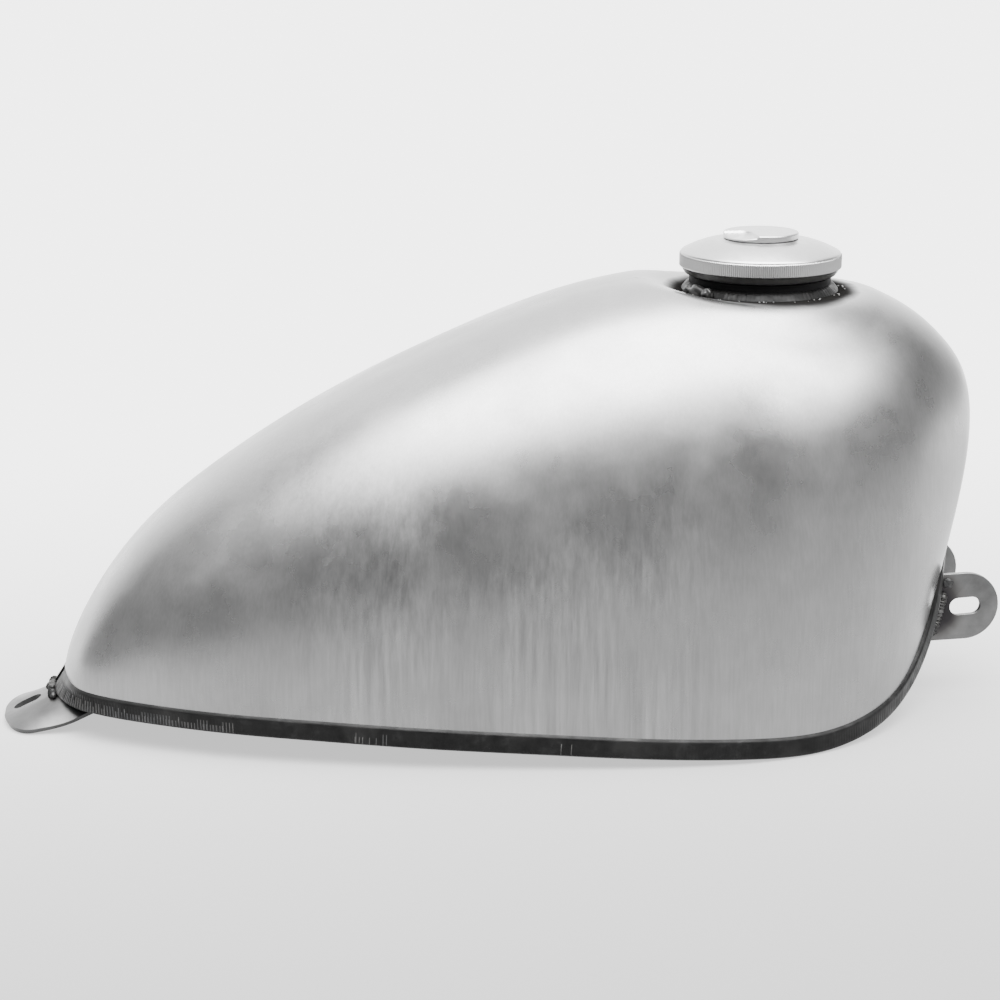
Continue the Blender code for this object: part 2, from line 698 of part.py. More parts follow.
# ---- the cap's pieces ---------------------------------------------------------------------
def build_cap():
    """The turned aluminium cap, its threaded plug and everything they carry."""
    alloy = material("cap_alloy", (0.72, 0.72, 0.73), 0.32)
    dome = [(mix(39.2, 19.5, k / 8), 224.6 + 6.2 * sin(pi / 2 * k / 8)) for k in range(9)]
    outer = [(9.3, 231.0), (19.0, 231.0)] + list(reversed(dome))
    outer += [(CAP_R, 223.8), (CAP_R, 217.4), (39.2, 216.6), (37.3, 214.2), (36.5, 214.2)]
    inner = [(36.5, 215.7), (34.2, 215.7), (34.2, 218.0), (26.0, 218.0), (26.0, 222.0), (20.0, 226.0),
             (9.3, 226.0)]
    shell = turned("cap_shell", outer + inner, alloy, steps=48)
    pin_hole = cylinder("cover_pin_hole", 1.7, 227.5, 240, pin_centre())
    cut(shell, pin_hole)
    plug = [(27.0, 217.7), (33.8, 217.7), (33.8, 216.0), (30.4, 216.0), (30.4, 188.0), (27.0, 188.0)]
    insert = turned("threaded_insert", plug, material("insert_alloy", (0.5, 0.5, 0.5), 0.4), steps=48)
    window = box("bolt_window", (NECK_X + 20, -3.4, 192.4), (NECK_X + 34, 3.4, 197.6))
    cut(insert, window)
    brass = material("lock_brass", (0.6, 0.45, 0.2), 0.35)
    housing = [(6.4, 230.8), (9.0, 230.8), (9.0, 225.7), (14.0, 225.7), (14.0, 223.7), (9.0, 223.7),
               (9.0, 204.0), (6.4, 204.0)]
    turned("lock_housing", housing, brass, steps=32)
    turned("housing_clip", ring(11.5, 9.3, 223.4, 222.2), steel("clip_steel", 0.3), steps=32)
    chrome = material("lock_chrome", (0.7, 0.7, 0.7), 0.2)
    barrel = cylinder("lock_cylinder", 6.1, 202.0, 230.6, (NECK_X, 0), chrome, parts)
    key = box("key_slot", (NECK_X - 4.2, -0.7, 222), (NECK_X + 4.2, 0.7, 236))
    cut(barrel, key)
    cam_outline = stadium((3.0, 0), 14, 8)
    low_plate = Matrix.Translation((NECK_X * MM, 0, 200.8 * MM))
    plate("lock_cam", (cam_outline,), 1.8, low_plate, steel("cam_steel", 0.4))
    cylinder("cam_screw", 2.4, 197.8, 199.6, (NECK_X, 0), steel("cam_screw_steel", 0.3), parts)
    box("lock_bolt", (NECK_X + 12, -3.0, 193.0), (NECK_X + 29.4, 3.0, 197.0),
        steel("bolt_steel", 0.5), parts)
    baffle = turned("baffle_plate", ring(26.6, 3.0, 190.6, 189.4), steel("baffle_steel", 0.5), steps=32)
    vent_hole = cylinder("vent_hole", 1.7, 180, 200, (NECK_X - 14, 0))
    cut(baffle, vent_hole)
    guide = box("bolt_guide", (NECK_X + 14, -6.0, 190.9), (NECK_X + 25.5, 6.0, 198.6),
                steel("guide_steel", 0.4), parts)
    slot = box("guide_slot", (NECK_X + 5, -3.4, 192.6), (NECK_X + 40, 3.4, 197.4))
    cut(guide, slot)
    for k in range(3):
        turn = 2 * pi * k / 3 + pi / 6
        centre = (NECK_X + PIN_CIRCLE * cos(turn), PIN_CIRCLE * sin(turn))
        cylinder(f"insert_pin_{k + 1}", 0.9, 216.2, 221.2, centre, steel("pin_steel", 0.3), parts, 16)
        pocket = cylinder(f"pin_pocket_{k + 1}", 1.2, 215.0, 221.5, centre, sides=16)
        cut(shell, pocket)
        cut(insert, pocket)


def pin_centre():
    return (NECK_X + COVER_PIN[0], COVER_PIN[1])


def build_cover():
    """The swivel cover over the lock, its pivot and its wave washer."""
    alloy = material("cover_alloy", (0.74, 0.74, 0.75), 0.3)
    profile = [(0, COVER_TOP), (COVER_R - 0.8, COVER_TOP), (COVER_R, COVER_TOP - 0.8),
               (COVER_R, COVER_BOTTOM), (0, COVER_BOTTOM)]
    cover = turned("swivel_cover", profile, alloy, steps=48)
    hole = cylinder("cover_hole", 1.7, 225, 240, pin_centre())
    cut(cover, hole)
    bpy.ops.mesh.primitive_uv_sphere_add(segments=32, ring_count=16, radius=9.5 * MM)
    scoop = bpy.context.object
    scoop.name = "thumb_scoop"
    scoop.location = ((NECK_X - 10.5) * MM, -13.0 * MM, (COVER_TOP + 6.9) * MM)
    for holder in list(scoop.users_collection):
        holder.objects.unlink(scoop)
    tools.objects.link(scoop)
    cut(cover, scoop)
    cylinder("cover_pivot", 1.4, 227.8, COVER_TOP - 0.2, pin_centre(), steel("pivot_steel", 0.5), parts)


def build_seal():
    """The rubber gasket and the steel ring that presses it without turning."""
    turned("seal_plate", ring(36.0, 31.4, 215.4, 214.8), steel("seal_plate_steel", 0.5), steps=48)
    rubber = material("gasket_rubber", (0.02, 0.02, 0.02), 0.8, 0)
    turned("cap_gasket", ring(35.9, 31.4, 214.5, 213.7), rubber, steps=48)


def build_vent():
    """The breather's mushroom valve and its spring."""
    x = NECK_X - 14
    outline = [(0, 197.8), (3.2, 197.8), (3.2, 197.0), (1.3, 197.0), (1.3, 189.0), (3.4, 189.0),
               (3.4, 187.8), (0, 187.8)]
    turned("vent_valve", outline, steel("valve_steel", 0.5), (x, 0), 20)
    path = []
    turns, around = 4, 10
    for k in range(turns * around + 1):
        turn = 2 * pi * k / around
        path.append((x + 2.5 * cos(turn), 2.5 * sin(turn), mix(191.5, 196.3, k / (turns * around))))
    rod("vent_spring", path, [0.35] * len(path), steel("spring_steel", 0.6))


grid = build_shells()
build_top_weld("top_seam_weld_rear", 0.012, share_at(NECK_X - NECK_R - 1.0), 34)
build_top_weld("top_seam_weld_front", share_at(NECK_X + NECK_R + 1.0), 0.985, 18)
build_tunnel()
build_pans()
build_neck(grid)
build_front_tab("left_front_tab", 1)
build_front_tab("right_front_tab", -1)
build_rear_tab()
build_bung()
build_cap()
build_cover()
build_seal()
build_vent()
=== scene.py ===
"""The looks of the raw-steel motorcycle fuel tank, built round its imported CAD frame. Metres, +Z up."""
from math import cos, pi, radians, sin, sqrt

import bmesh
import bpy
import numpy as np
from mathutils import Matrix, Vector
from mathutils.bvhtree import BVHTree


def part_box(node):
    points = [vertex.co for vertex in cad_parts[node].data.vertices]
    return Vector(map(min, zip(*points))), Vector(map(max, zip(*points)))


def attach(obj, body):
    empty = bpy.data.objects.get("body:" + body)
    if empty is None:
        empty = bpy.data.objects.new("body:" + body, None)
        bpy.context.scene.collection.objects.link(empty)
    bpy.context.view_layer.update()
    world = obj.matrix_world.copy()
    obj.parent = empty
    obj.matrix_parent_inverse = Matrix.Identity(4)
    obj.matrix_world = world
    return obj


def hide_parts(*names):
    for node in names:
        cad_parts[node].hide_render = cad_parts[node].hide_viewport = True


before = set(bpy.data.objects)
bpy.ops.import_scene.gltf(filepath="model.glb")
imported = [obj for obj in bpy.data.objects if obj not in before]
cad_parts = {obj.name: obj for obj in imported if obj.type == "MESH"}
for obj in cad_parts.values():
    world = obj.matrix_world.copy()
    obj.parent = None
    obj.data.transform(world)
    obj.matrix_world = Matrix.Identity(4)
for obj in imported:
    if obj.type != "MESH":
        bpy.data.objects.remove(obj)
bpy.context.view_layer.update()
MM = 0.001

# ---- the tank's skin, in millimetres, as in the CAD
# Centreline x and z, seam x, half width and z, and how square the section between them is.
STATIONS = (
    (-218, 24.5, -218, 0, 24.5, 2.00),
    (-214, 38, -213, 27, 24.3, 2.05),
    (-200, 65, -195, 47, 23.8, 2.10),
    (-172, 99, -150, 71, 23, 2.15),
    (-130, 131, -100, 88, 22, 2.20),
    (-80, 160, -50, 100, 20, 2.30),
    (-25, 185, 5, 109, 17.5, 2.40),
    (35, 206.5, 55, 114, 14.5, 2.50),
    (90, 215.5, 100, 114, 12, 2.55),
    (140, 214, 140, 105, 10.4, 2.60),
    (190, 203.5, 172, 87, 14.5, 2.50),
    (219.5, 184, 194, 66, 25, 2.40),
    (233, 166, 208, 50, 47, 2.30),
    (236, 147, 216, 41, 74, 2.20),
    (232, 128, 223, 26, 102, 2.10),
    (229, 115, 229, 0, 115, 2.00),
)
SHEET = 1.5
SEAM_GAP = 1.2
END_TRIM = 0.006
JOGGLE_OUT = 1.5
JOGGLE_DROP = 1.2
LIP_HEIGHT = 9.5
LIP_HEIGHT_TAIL = 8.1
LIP_HEIGHT_ARCH = 6.0
ARCH_LEAN = radians(35)
TAIL_FLARE = 6.0
TAIL_END = 0.14
ARCH_START = 0.78
PAN_FLANGE_SHOW = 0.9
PAN_BEHIND = 3.7
PAN_DROP = 4.1
TUNNEL_HALF = 30.5
TUNNEL_TAIL_X = -194
TUNNEL_TAIL_ROOF = 30
TUNNEL_FRONT_ROOF = 104
MOUTH_X = 207
MOUTH_Z = 34
MOUTH_LEAN = 0.235
LEAST_RISE = 6
BELLY_END = 190
RIM_GAP = 2.0
DISH_Z = 206
DISH_FLAT = 38
DISH_END = 66

# ---- places read from the frame, and given sizes and places, in millimetres
def node_box(node):
    low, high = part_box(node)
    return low / MM, high / MM


neck_low, neck_high = node_box("filler_neck")
NECK = (neck_low + neck_high) / 2
NECK_R = (neck_high.x - neck_low.x) / 2
cap_low, cap_high = node_box("cap_shell")
CAP_R = (cap_high.x - cap_low.x) / 2
cover_low, cover_high = node_box("swivel_cover")
COVER_R = (cover_high.x - cover_low.x) / 2
pin_low, pin_high = node_box("cover_pivot")
tab_low, tab_high = node_box("right_front_tab")
TAB_THICK = tab_high.y - tab_low.y
TAB_Y = (tab_high.y + tab_low.y) / -2
TAB_R = 17.4
TAB_CENTRE = (tab_high.x - TAB_R, 47)
TAB_TILT = radians(3)
SLOT_LENGTH = 15.9
SLOT_WIDTH = 8.8
rear_low, rear_high = node_box("rear_tab")
REAR_HALF = (rear_high.y - rear_low.y) / 2
REAR_NOSE = -248.5
REAR_ROOT = -204
REAR_SHOULDER = -232
REAR_FLAT = 7
REAR_SLOPE = 0.445
REAR_CREST = (-223, 13.6)
REAR_SAG = (3.2, 10.6)
REAR_SLOT_X = -237
bung_low, bung_high = node_box("petcock_bung")
BUNG = (bung_low + bung_high) / 2
BUNG_R = (bung_high.x - bung_low.x) / 2
BUNG_BORE = 5.7


# ---- arithmetic
def mix(a, b, share):
    return a + (b - a) * share


def share_of(value, start, end):
    return (value - start) / (end - start)


def fade(value, start, end):
    """0 at start, 1 at end, smooth between."""
    share = min(1.0, max(0.0, share_of(value, start, end)))
    return share * share * (3 - 2 * share)


def natural_spline(rows):
    values = np.array(rows, float)
    count = len(values)
    system = np.eye(count)
    right = np.zeros_like(values)
    for i in range(1, count - 1):
        system[i, i - 1:i + 2] = (1, 4, 1)
        right[i] = 6 * (values[i + 1] - 2 * values[i] + values[i - 1])
    return values, np.linalg.solve(system, right)


SPLINE, BEND = natural_spline(STATIONS)


def station(u):
    place_on = u * (len(SPLINE) - 1)
    i = min(int(place_on), len(SPLINE) - 2)
    t = place_on - i
    s = 1 - t
    return (SPLINE[i] * s + SPLINE[i + 1] * t
            + BEND[i] * (s ** 3 - s) / 6 + BEND[i + 1] * (t ** 3 - t) / 6)


def spread(y):
    widest = 115
    inset = 0.1
    return SEAM_GAP + y * (widest - SEAM_GAP - inset) / widest


def dished(x, y, z):
    away = sqrt((x - NECK.x) ** 2 + y ** 2)
    return mix(DISH_Z, z, fade(away, DISH_FLAT, DISH_END)) if z > DISH_Z / 2 else z


def skin(u, turn):
    """A point of the right-hand skin, from the centreline at turn 0 to the seam at 90 degrees."""
    px, pz, sx, sy, sz, full = station(u)
    across = sin(turn) ** (2 / full)
    down = 1 - max(0.0, cos(turn)) ** (2 / full)
    x = px + (sx - px) * down
    y = spread(sy * across)
    return Vector((x, -y, dished(x, y, pz + (sz - pz) * down)))


def seam_frame(u):
    step = 0.002
    here = skin(u, pi / 2)
    along = (skin(min(1.0, u + step), pi / 2) - skin(max(0.0, u - step), pi / 2)).normalized()
    px, pz, sx, _, sz, _ = station(u)
    down = Vector((sx - px, 0, sz - pz)).normalized()
    out = down.cross(along).normalized()
    if out.dot(here - Vector((0, 0, 60))) < 0:
        out = -out
    drop = along.cross(out).normalized()
    if drop.dot(down) < 0:
        drop = -drop
    return here, out, drop


def arch_share(u):
    return fade(u, ARCH_START - 0.08, ARCH_START + 0.06)


def lip_frame(u):
    here, out, drop = seam_frame(u)
    turn = ARCH_LEAN * arch_share(u)
    return here, out * cos(turn) - drop * sin(turn), drop * cos(turn) + out * sin(turn)


def lip_size(u):
    tail = 1 - fade(u, 0, TAIL_END)
    tall = mix(mix(LIP_HEIGHT, LIP_HEIGHT_TAIL, tail), LIP_HEIGHT_ARCH, arch_share(u))
    return tall, JOGGLE_OUT + TAIL_FLARE * tail


def shares(count):
    return [END_TRIM + (1 - 2 * END_TRIM) * i / (count - 1) for i in range(count)]


def mouth_x(z):
    return MOUTH_X + MOUTH_LEAN * (z - MOUTH_Z)


def roof(x):
    far = (x - TUNNEL_TAIL_X) / (mouth_x(TUNNEL_FRONT_ROOF) - TUNNEL_TAIL_X)
    return mix(TUNNEL_TAIL_ROOF, TUNNEL_FRONT_ROOF, far)


def find_share(column, x, high):
    """The share u where a column of the stations reaches x."""
    low = 0.0
    for _ in range(40):
        middle = (low + high) / 2
        if station(middle)[column] < x:
            low = middle
        else:
            high = middle
    return low


def belly_z(x):
    return station(find_share(2, x, 0.72))[4] - PAN_DROP


def spring_line(x):
    rise = min(TUNNEL_HALF, max(LEAST_RISE, roof(x) - belly_z(min(x, BELLY_END))))
    return roof(x) - rise, rise


# ---- making meshes
def new_piece(name, points, faces, look, body="tank", slot=None, replaces=(), angle=35):
    """One visible piece from points in millimetres, riding on a body."""
    mesh = bpy.data.meshes.new(name)
    mesh.from_pydata([tuple(c * MM for c in p) for p in points], [], faces)
    mesh.validate()
    mesh.update()
    mesh.shade_smooth()
    mesh.set_sharp_from_angle(angle=radians(angle))
    mesh.materials.append(look)
    return register(bpy.data.objects.new(name, mesh), body, slot, replaces)


def register(piece, body, slot, replaces):
    if not piece.users_collection:
        bpy.context.scene.collection.objects.link(piece)
    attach(piece, body)
    if replaces:
        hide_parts(*replaces)
    return piece


def grid_faces(rows, columns, wrap_rows=False, wrap_columns=False):
    faces = []
    for i in range(rows - 1 + wrap_rows):
        for j in range(columns - 1 + wrap_columns):
            a = i * columns + j
            b = (i + 1) % rows * columns + j
            c = (i + 1) % rows * columns + (j + 1) % columns
            d = i * columns + (j + 1) % columns
            faces.append((a, b, c, d))
    return faces


def flipped(faces):
    return [tuple(reversed(face)) for face in faces]


def flatten(grid):
    return [p for row in grid for p in row]


def mirrored(grid):
    return [[Vector((p.x, -p.y, p.z)) for p in reversed(row)] for row in grid]


def thicken(piece, thickness, offset=-1.0, even=True):
    solid = piece.modifiers.new("thickness", "SOLIDIFY")
    solid.thickness = thickness * MM
    solid.offset = offset
    solid.use_even_offset = even


def bevel(piece, width, segments=2, angle=30):
    edge = piece.modifiers.new("edges", "BEVEL")
    edge.width = width * MM
    edge.segments = segments
    edge.limit_method = "ANGLE"
    edge.angle_limit = radians(angle)
    edge.harden_normals = True


def prism(name, outline, low, high):
    """A cutter with an upright side from a plan outline."""
    count = len(outline)
    points = [(x, y, low) for x, y in outline] + [(x, y, high) for x, y in outline]
    faces = [tuple(reversed(range(count))), tuple(range(count, 2 * count))]
    faces += [(k, (k + 1) % count, (k + 1) % count + count, k + count) for k in range(count)]
    mesh = bpy.data.meshes.new(name)
    mesh.from_pydata([tuple(c * MM for c in p) for p in points], [], faces)
    mesh.update()
    tool = bpy.data.objects.new(name, mesh)
    bpy.context.scene.collection.objects.link(tool)
    return tool


def apply_cut(piece, tool):
    """Cuts the tool out of the piece for good, and removes the tool."""
    change = piece.modifiers.new("cut", "BOOLEAN")
    change.operation = "DIFFERENCE"
    change.object = tool
    bake(piece)
    bpy.data.objects.remove(tool, do_unlink=True)


def bake(piece):
    """Applies the piece's modifiers."""
    seen = piece.evaluated_get(bpy.context.evaluated_depsgraph_get())
    mesh = bpy.data.meshes.new_from_object(seen)
    piece.modifiers.clear()
    piece.data = mesh


def circle(centre, radius, count):
    return [(centre[0] + radius * cos(2 * pi * k / count), centre[1] + radius * sin(2 * pi * k / count))
            for k in range(count)]


def rectangle(start, end, half):
    return [(start, -half), (end, -half), (end, half), (start, half)]


def stadium(centre, length, width, tilt=0.0, steps=20):
    reach = (length - width) / 2
    outline = []
    for end, start in ((1, -pi / 2), (-1, pi / 2)):
        for k in range(steps + 1):
            turn = start + pi * k / steps
            x = end * reach + width / 2 * cos(turn)
            y = width / 2 * sin(turn)
            outline.append((centre[0] + x * cos(tilt) - y * sin(tilt),
                            centre[1] + x * sin(tilt) + y * cos(tilt)))
    return outline


def turned(name, profile, look, centre=(0, 0), body="tank", slot=None, replaces=(), steps=128, angle=30,
           shape=None):
    """A turned piece from a closed outline of (radius, z) that runs down its outer side."""
    points = []
    for k in range(steps):
        turn = 2 * pi * k / steps
        for j, (r, z) in enumerate(profile):
            if shape:
                r, z = shape(j, r, z, turn)
            points.append((centre[0] + r * cos(turn), centre[1] + r * sin(turn), z))
    faces = grid_faces(steps, len(profile), wrap_rows=True, wrap_columns=True)
    faces = flipped(faces)
    return new_piece(name, points, faces, look, body, slot, replaces, angle)


# ---- materials
class Look:
    """A Principled material and short calls for the nodes that drive it."""

    def __init__(self, name, metallic=1.0, roughness=0.4, **flat):
        self.material = bpy.data.materials.new(name)
        self.material.use_nodes = True
        self.tree = self.material.node_tree
        self.shader = self.tree.nodes["Principled BSDF"]
        self.shader.inputs["Metallic"].default_value = metallic
        self.shader.inputs["Roughness"].default_value = roughness
        for key, value in flat.items():
            self.shader.inputs[key.replace("_", " ")].default_value = value
        self.place = self.node("ShaderNodeTexCoord").outputs["Object"]

    def node(self, kind, **settings):
        made = self.tree.nodes.new(kind)
        for key, value in settings.items():
            setattr(made, key, value)
        return made

    def feed(self, socket, source):
        """Sets a socket from a link or a plain value."""
        if isinstance(source, bpy.types.NodeSocket):
            self.tree.links.new(source, socket)
        else:
            socket.default_value = source

    def stretched(self, scale, turn=(0, 0, 0)):
        mapping = self.node("ShaderNodeMapping")
        mapping.inputs["Scale"].default_value = scale
        mapping.inputs["Rotation"].default_value = turn
        self.feed(mapping.inputs["Vector"], self.place)
        return mapping.outputs["Vector"]

    def noise(self, scale, detail=4.0, rough=0.5, vector=None, distortion=0.0):
        made = self.node("ShaderNodeTexNoise")
        made.inputs["Scale"].default_value = scale
        made.inputs["Detail"].default_value = detail
        made.inputs["Roughness"].default_value = rough
        made.inputs["Distortion"].default_value = distortion
        self.feed(made.inputs["Vector"], vector if vector is not None else self.place)
        return made.outputs["Fac"]

    def ramp(self, source, stops):
        """A colour ramp through (position, grey or colour) stops."""
        made = self.node("ShaderNodeValToRGB")
        elements = made.color_ramp.elements
        while len(elements) < len(stops):
            elements.new(0.5)
        for element, (position, tone) in zip(elements, stops):
            element.position = position
            colour = tone if isinstance(tone, tuple) else (tone, tone, tone)
            element.color = (*colour, 1)
        self.feed(made.inputs["Fac"], source)
        return made.outputs["Color"]

    def math(self, operation, a, b=0.0):
        made = self.node("ShaderNodeMath", operation=operation)
        self.feed(made.inputs[0], a)
        self.feed(made.inputs[1], b)
        return made.outputs[0]

    def blend(self, share, a, b):
        made = self.node("ShaderNodeMix", data_type="RGBA")
        self.feed(made.inputs[0], share)
        for socket, source in ((made.inputs[6], a), (made.inputs[7], b)):
            if isinstance(source, (float, int)):
                source = (source, source, source, 1)
            elif isinstance(source, tuple) and len(source) == 3:
                source = (*source, 1)
            self.feed(socket, source)
        return made.outputs[2]

    def from_axis(self, centre):
        """How far a place lies from an upright axis, in metres."""
        shift = self.node("ShaderNodeVectorMath", operation="SUBTRACT")
        shift.inputs[1].default_value = (centre.x * MM, centre.y * MM, 0)
        self.feed(shift.inputs[0], self.place)
        flat = self.node("ShaderNodeVectorMath", operation="MULTIPLY")
        flat.inputs[1].default_value = (1, 1, 0)
        self.feed(flat.inputs[0], shift.outputs[0])
        size = self.node("ShaderNodeVectorMath", operation="LENGTH")
        self.feed(size.inputs[0], flat.outputs[0])
        return size.outputs["Value"]

    def coordinate(self, axis):
        parts = self.node("ShaderNodeSeparateXYZ")
        self.feed(parts.inputs[0], self.place)
        return parts.outputs[axis]

    def band(self, source, low, high, soft):
        """1 between two values, fading to 0 over a soft edge outside them."""
        rise = self.node("ShaderNodeMapRange", interpolation_type="SMOOTHSTEP")
        fall = self.node("ShaderNodeMapRange", interpolation_type="SMOOTHSTEP")
        for made, start, end in ((rise, low - soft, low), (fall, high + soft, high)):
            self.feed(made.inputs["Value"], source)
            made.inputs["From Min"].default_value = start
            made.inputs["From Max"].default_value = end
        return self.math("MULTIPLY", rise.outputs[0], fall.outputs[0])

    def colour(self, source):
        self.feed(self.shader.inputs["Base Color"], source)

    def roughness(self, source):
        self.feed(self.shader.inputs["Roughness"], source)

    def bump(self, height, distance, strength=1.0, under=None):
        made = self.node("ShaderNodeBump")
        made.inputs["Strength"].default_value = strength
        made.inputs["Distance"].default_value = distance * MM
        self.feed(made.inputs["Height"], height)
        if under is not None:
            self.feed(made.inputs["Normal"], under)
        self.feed(self.shader.inputs["Normal"], made.outputs["Normal"])
        return made.outputs["Normal"]


def skin_look(name):
    """Bare pressed steel, hand-brushed: mottled, streaked on the flanks, scorched by the welds."""
    look = Look(name, roughness=0.3, Specular_IOR_Level=0.0)
    mottle = look.noise(11, 5, 0.6)
    cloud = look.noise(34, 4, 0.55, distortion=0.6)
    tone = look.ramp(mottle, ((0.28, 0.185), (0.5, 0.23), (0.72, 0.27)))
    tone = look.blend(0.25, tone, look.ramp(cloud, ((0.3, 0.18), (0.7, 0.29))))
    streak = look.noise(1, 5, 0.65, look.stretched((260, 260, 9), (0, radians(4), 0)))
    streak_tone = look.ramp(streak, ((0.34, 0.14), (0.5, 0.235), (0.66, 0.34)))
    flank = look.math("MULTIPLY", look.band(look.coordinate(2), 0.012, 0.105, 0.05),
                      look.band(look.coordinate(0), -0.05, 0.03, 0.09))
    patchy = look.ramp(look.noise(20, 2), ((0.35, 0.0), (0.6, 1.0)))
    streak_share = look.math("MULTIPLY", look.math("ADD", look.math("MULTIPLY", flank, 0.55), 0.06), patchy)
    tone = look.blend(streak_share, tone, streak_tone)
    hair = look.noise(1, 3, 0.6, look.stretched((900, 900, 60), (0, radians(12), 0)))
    tone = look.blend(0.12, tone, look.ramp(hair, ((0.35, 0.15), (0.65, 0.33))))
    high = look.band(look.coordinate(2), 0.15, 0.3, 0.02)
    halo_reach, halo_fade = 0.050, 0.012
    halo_centre = NECK + Vector((0, -3, 0))
    near = look.math("SUBTRACT", halo_reach, look.from_axis(halo_centre))
    near = look.math("DIVIDE", near, halo_fade)
    ragged = look.math("ADD", near, look.math("MULTIPLY", look.math("SUBTRACT", cloud, 0.5), 0.6))
    burn = look.math("MULTIPLY", look.ramp(ragged, ((0.1, 0.0), (0.75, 1.0))), high)
    unburnt = look.math("SUBTRACT", 1.0, burn)
    scorch = look.math("SUBTRACT", 1.0, look.math("POWER", unburnt, 3.0))
    tone = look.blend(scorch, tone, (0.006, 0.0058, 0.0056))
    look.colour(tone)
    look.feed(look.shader.inputs["Metallic"], unburnt)
    rough = look.ramp(look.noise(26, 4, 0.6), ((0.3, 0.23), (0.7, 0.36)))
    look.roughness(look.blend(burn, rough, 0.8))
    dents = look.bump(look.noise(9, 2, 0.4), 1.1, 0.13)
    look.bump(look.noise(1, 3, 0.6, look.stretched((700, 700, 120), (0, radians(10), 0))), 0.02, 0.35, dents)
    return look.material


def lip_look(name):
    """The seam-welded lip: near black, with scale and worn edges."""
    look = Look(name, metallic=0.5, roughness=0.45, Specular_IOR_Level=0.2)
    tone = look.ramp(look.noise(160, 5, 0.6), ((0.3, 0.003), (0.55, 0.006), (0.75, 0.014)))
    worn = look.ramp(look.noise(45, 3, 0.5), ((0.52, 0.0), (0.68, 1.0)))
    look.colour(look.blend(look.math("MULTIPLY", worn, 0.3), tone, (0.028, 0.0275, 0.027)))
    look.roughness(look.ramp(look.noise(120, 4), ((0.3, 0.34), (0.7, 0.56))))
    look.bump(look.noise(900, 3), 0.06, 0.5)
    return look.material


def weld_look(name, base=0.02, metallic=0.6):
    """As-laid weld metal: dark scale, a nearly neutral tint and lighter specks."""
    look = Look(name, metallic=metallic, roughness=0.5, Specular_IOR_Level=0.1)
    tone = look.ramp(look.noise(180, 5, 0.65), ((0.3, base * 0.5), (0.55, base), (0.75, base * 2.6)))
    cool = (base * 0.96, base, base * 1.06)
    warm = (base * 1.3, base * 1.25, base * 1.18)
    tint = look.ramp(look.noise(70, 2), ((0.35, cool), (0.65, warm)))
    look.colour(look.blend(0.4, tone, tint))
    look.roughness(look.ramp(look.noise(240, 3), ((0.3, 0.3), (0.7, 0.6))))
    look.bump(look.noise(700, 4, 0.6), 0.12, 0.6)
    return look.material


def tab_look(name, hot, reach, tone_scale=1.0):
    """Tab plate in mill finish, scorched darker towards its weld at the hot point."""
    look = Look(name, roughness=0.38)
    greys = [(at, tone * tone_scale) for at, tone in ((0.3, 0.085), (0.5, 0.115), (0.72, 0.15))]
    tone = look.ramp(look.noise(60, 5, 0.6), greys)
    away = look.node("ShaderNodeVectorMath", operation="DISTANCE")
    look.feed(away.inputs[0], look.place)
    away.inputs[1].default_value = tuple(c * MM for c in hot)
    near = look.math("DIVIDE", away.outputs["Value"], reach * MM)
    near = look.math("ADD", near, look.math("MULTIPLY", look.noise(90, 3), 0.25))
    burnt = ((0.35, (0.012, 0.0115, 0.012)), (0.6, (0.03, 0.0285, 0.03)), (0.85, (0.075, 0.072, 0.07)),
             (1.0, (0.11, 0.107, 0.104)))
    heat = look.ramp(near, [(at, tuple(c * tone_scale for c in tint)) for at, tint in burnt])
    share = look.ramp(near, ((0.7, 1.0), (1.1, 0.0)))
    look.colour(look.blend(share, tone, heat))
    look.roughness(look.ramp(look.noise(75, 4), ((0.3, 0.3), (0.7, 0.48))))
    look.bump(look.noise(1, 3, 0.5, look.stretched((150, 900, 900))), 0.03, 0.4)
    return look.material


def pan_look(name):
    """Dark mill-finish sheet under the tank, with drawing marks and a few rust-brown blooms."""
    look = Look(name, roughness=0.42)
    tone = look.ramp(look.noise(18, 5, 0.6), ((0.3, 0.10), (0.7, 0.17)))
    bloom = look.ramp(look.noise(40, 4, 0.6), ((0.58, 0.0), (0.75, 0.5)))
    look.colour(look.blend(bloom, tone, (0.10, 0.075, 0.055)))
    look.roughness(look.ramp(look.noise(60, 4), ((0.3, 0.32), (0.7, 0.55))))
    look.bump(look.noise(1, 3, 0.5, look.stretched((30, 700, 700))), 0.03, 0.4)
    return look.material


def cap_look(name, centre, tone=0.74):
    """Bead-blasted satin aluminium with a fine sparkle and faint turning marks round its axis."""
    look = Look(name, roughness=0.33)
    grain = look.noise(2600, 2, 0.5)
    look.colour(look.blend(0.25, look.ramp(look.noise(70, 3), ((0.3, tone * 0.94), (0.7, tone * 1.04))),
                           look.ramp(grain, ((0.35, tone * 0.75), (0.65, tone * 1.1)))))
    look.roughness(look.ramp(look.noise(420, 3), ((0.3, 0.28), (0.7, 0.38))))
    mapping = look.node("ShaderNodeMapping")
    mapping.inputs["Location"].default_value = (-centre[0] * MM, -centre[1] * MM, 0)
    look.feed(mapping.inputs["Vector"], look.place)
    rings = look.node("ShaderNodeTexWave", wave_type="RINGS", rings_direction="Z")
    rings.inputs["Scale"].default_value = 700
    rings.inputs["Distortion"].default_value = 0.4
    look.feed(rings.inputs["Vector"], mapping.outputs["Vector"])
    turning = look.bump(rings.outputs["Fac"], 0.006, 0.25)
    look.bump(grain, 0.02, 0.35, turning)
    return look.material


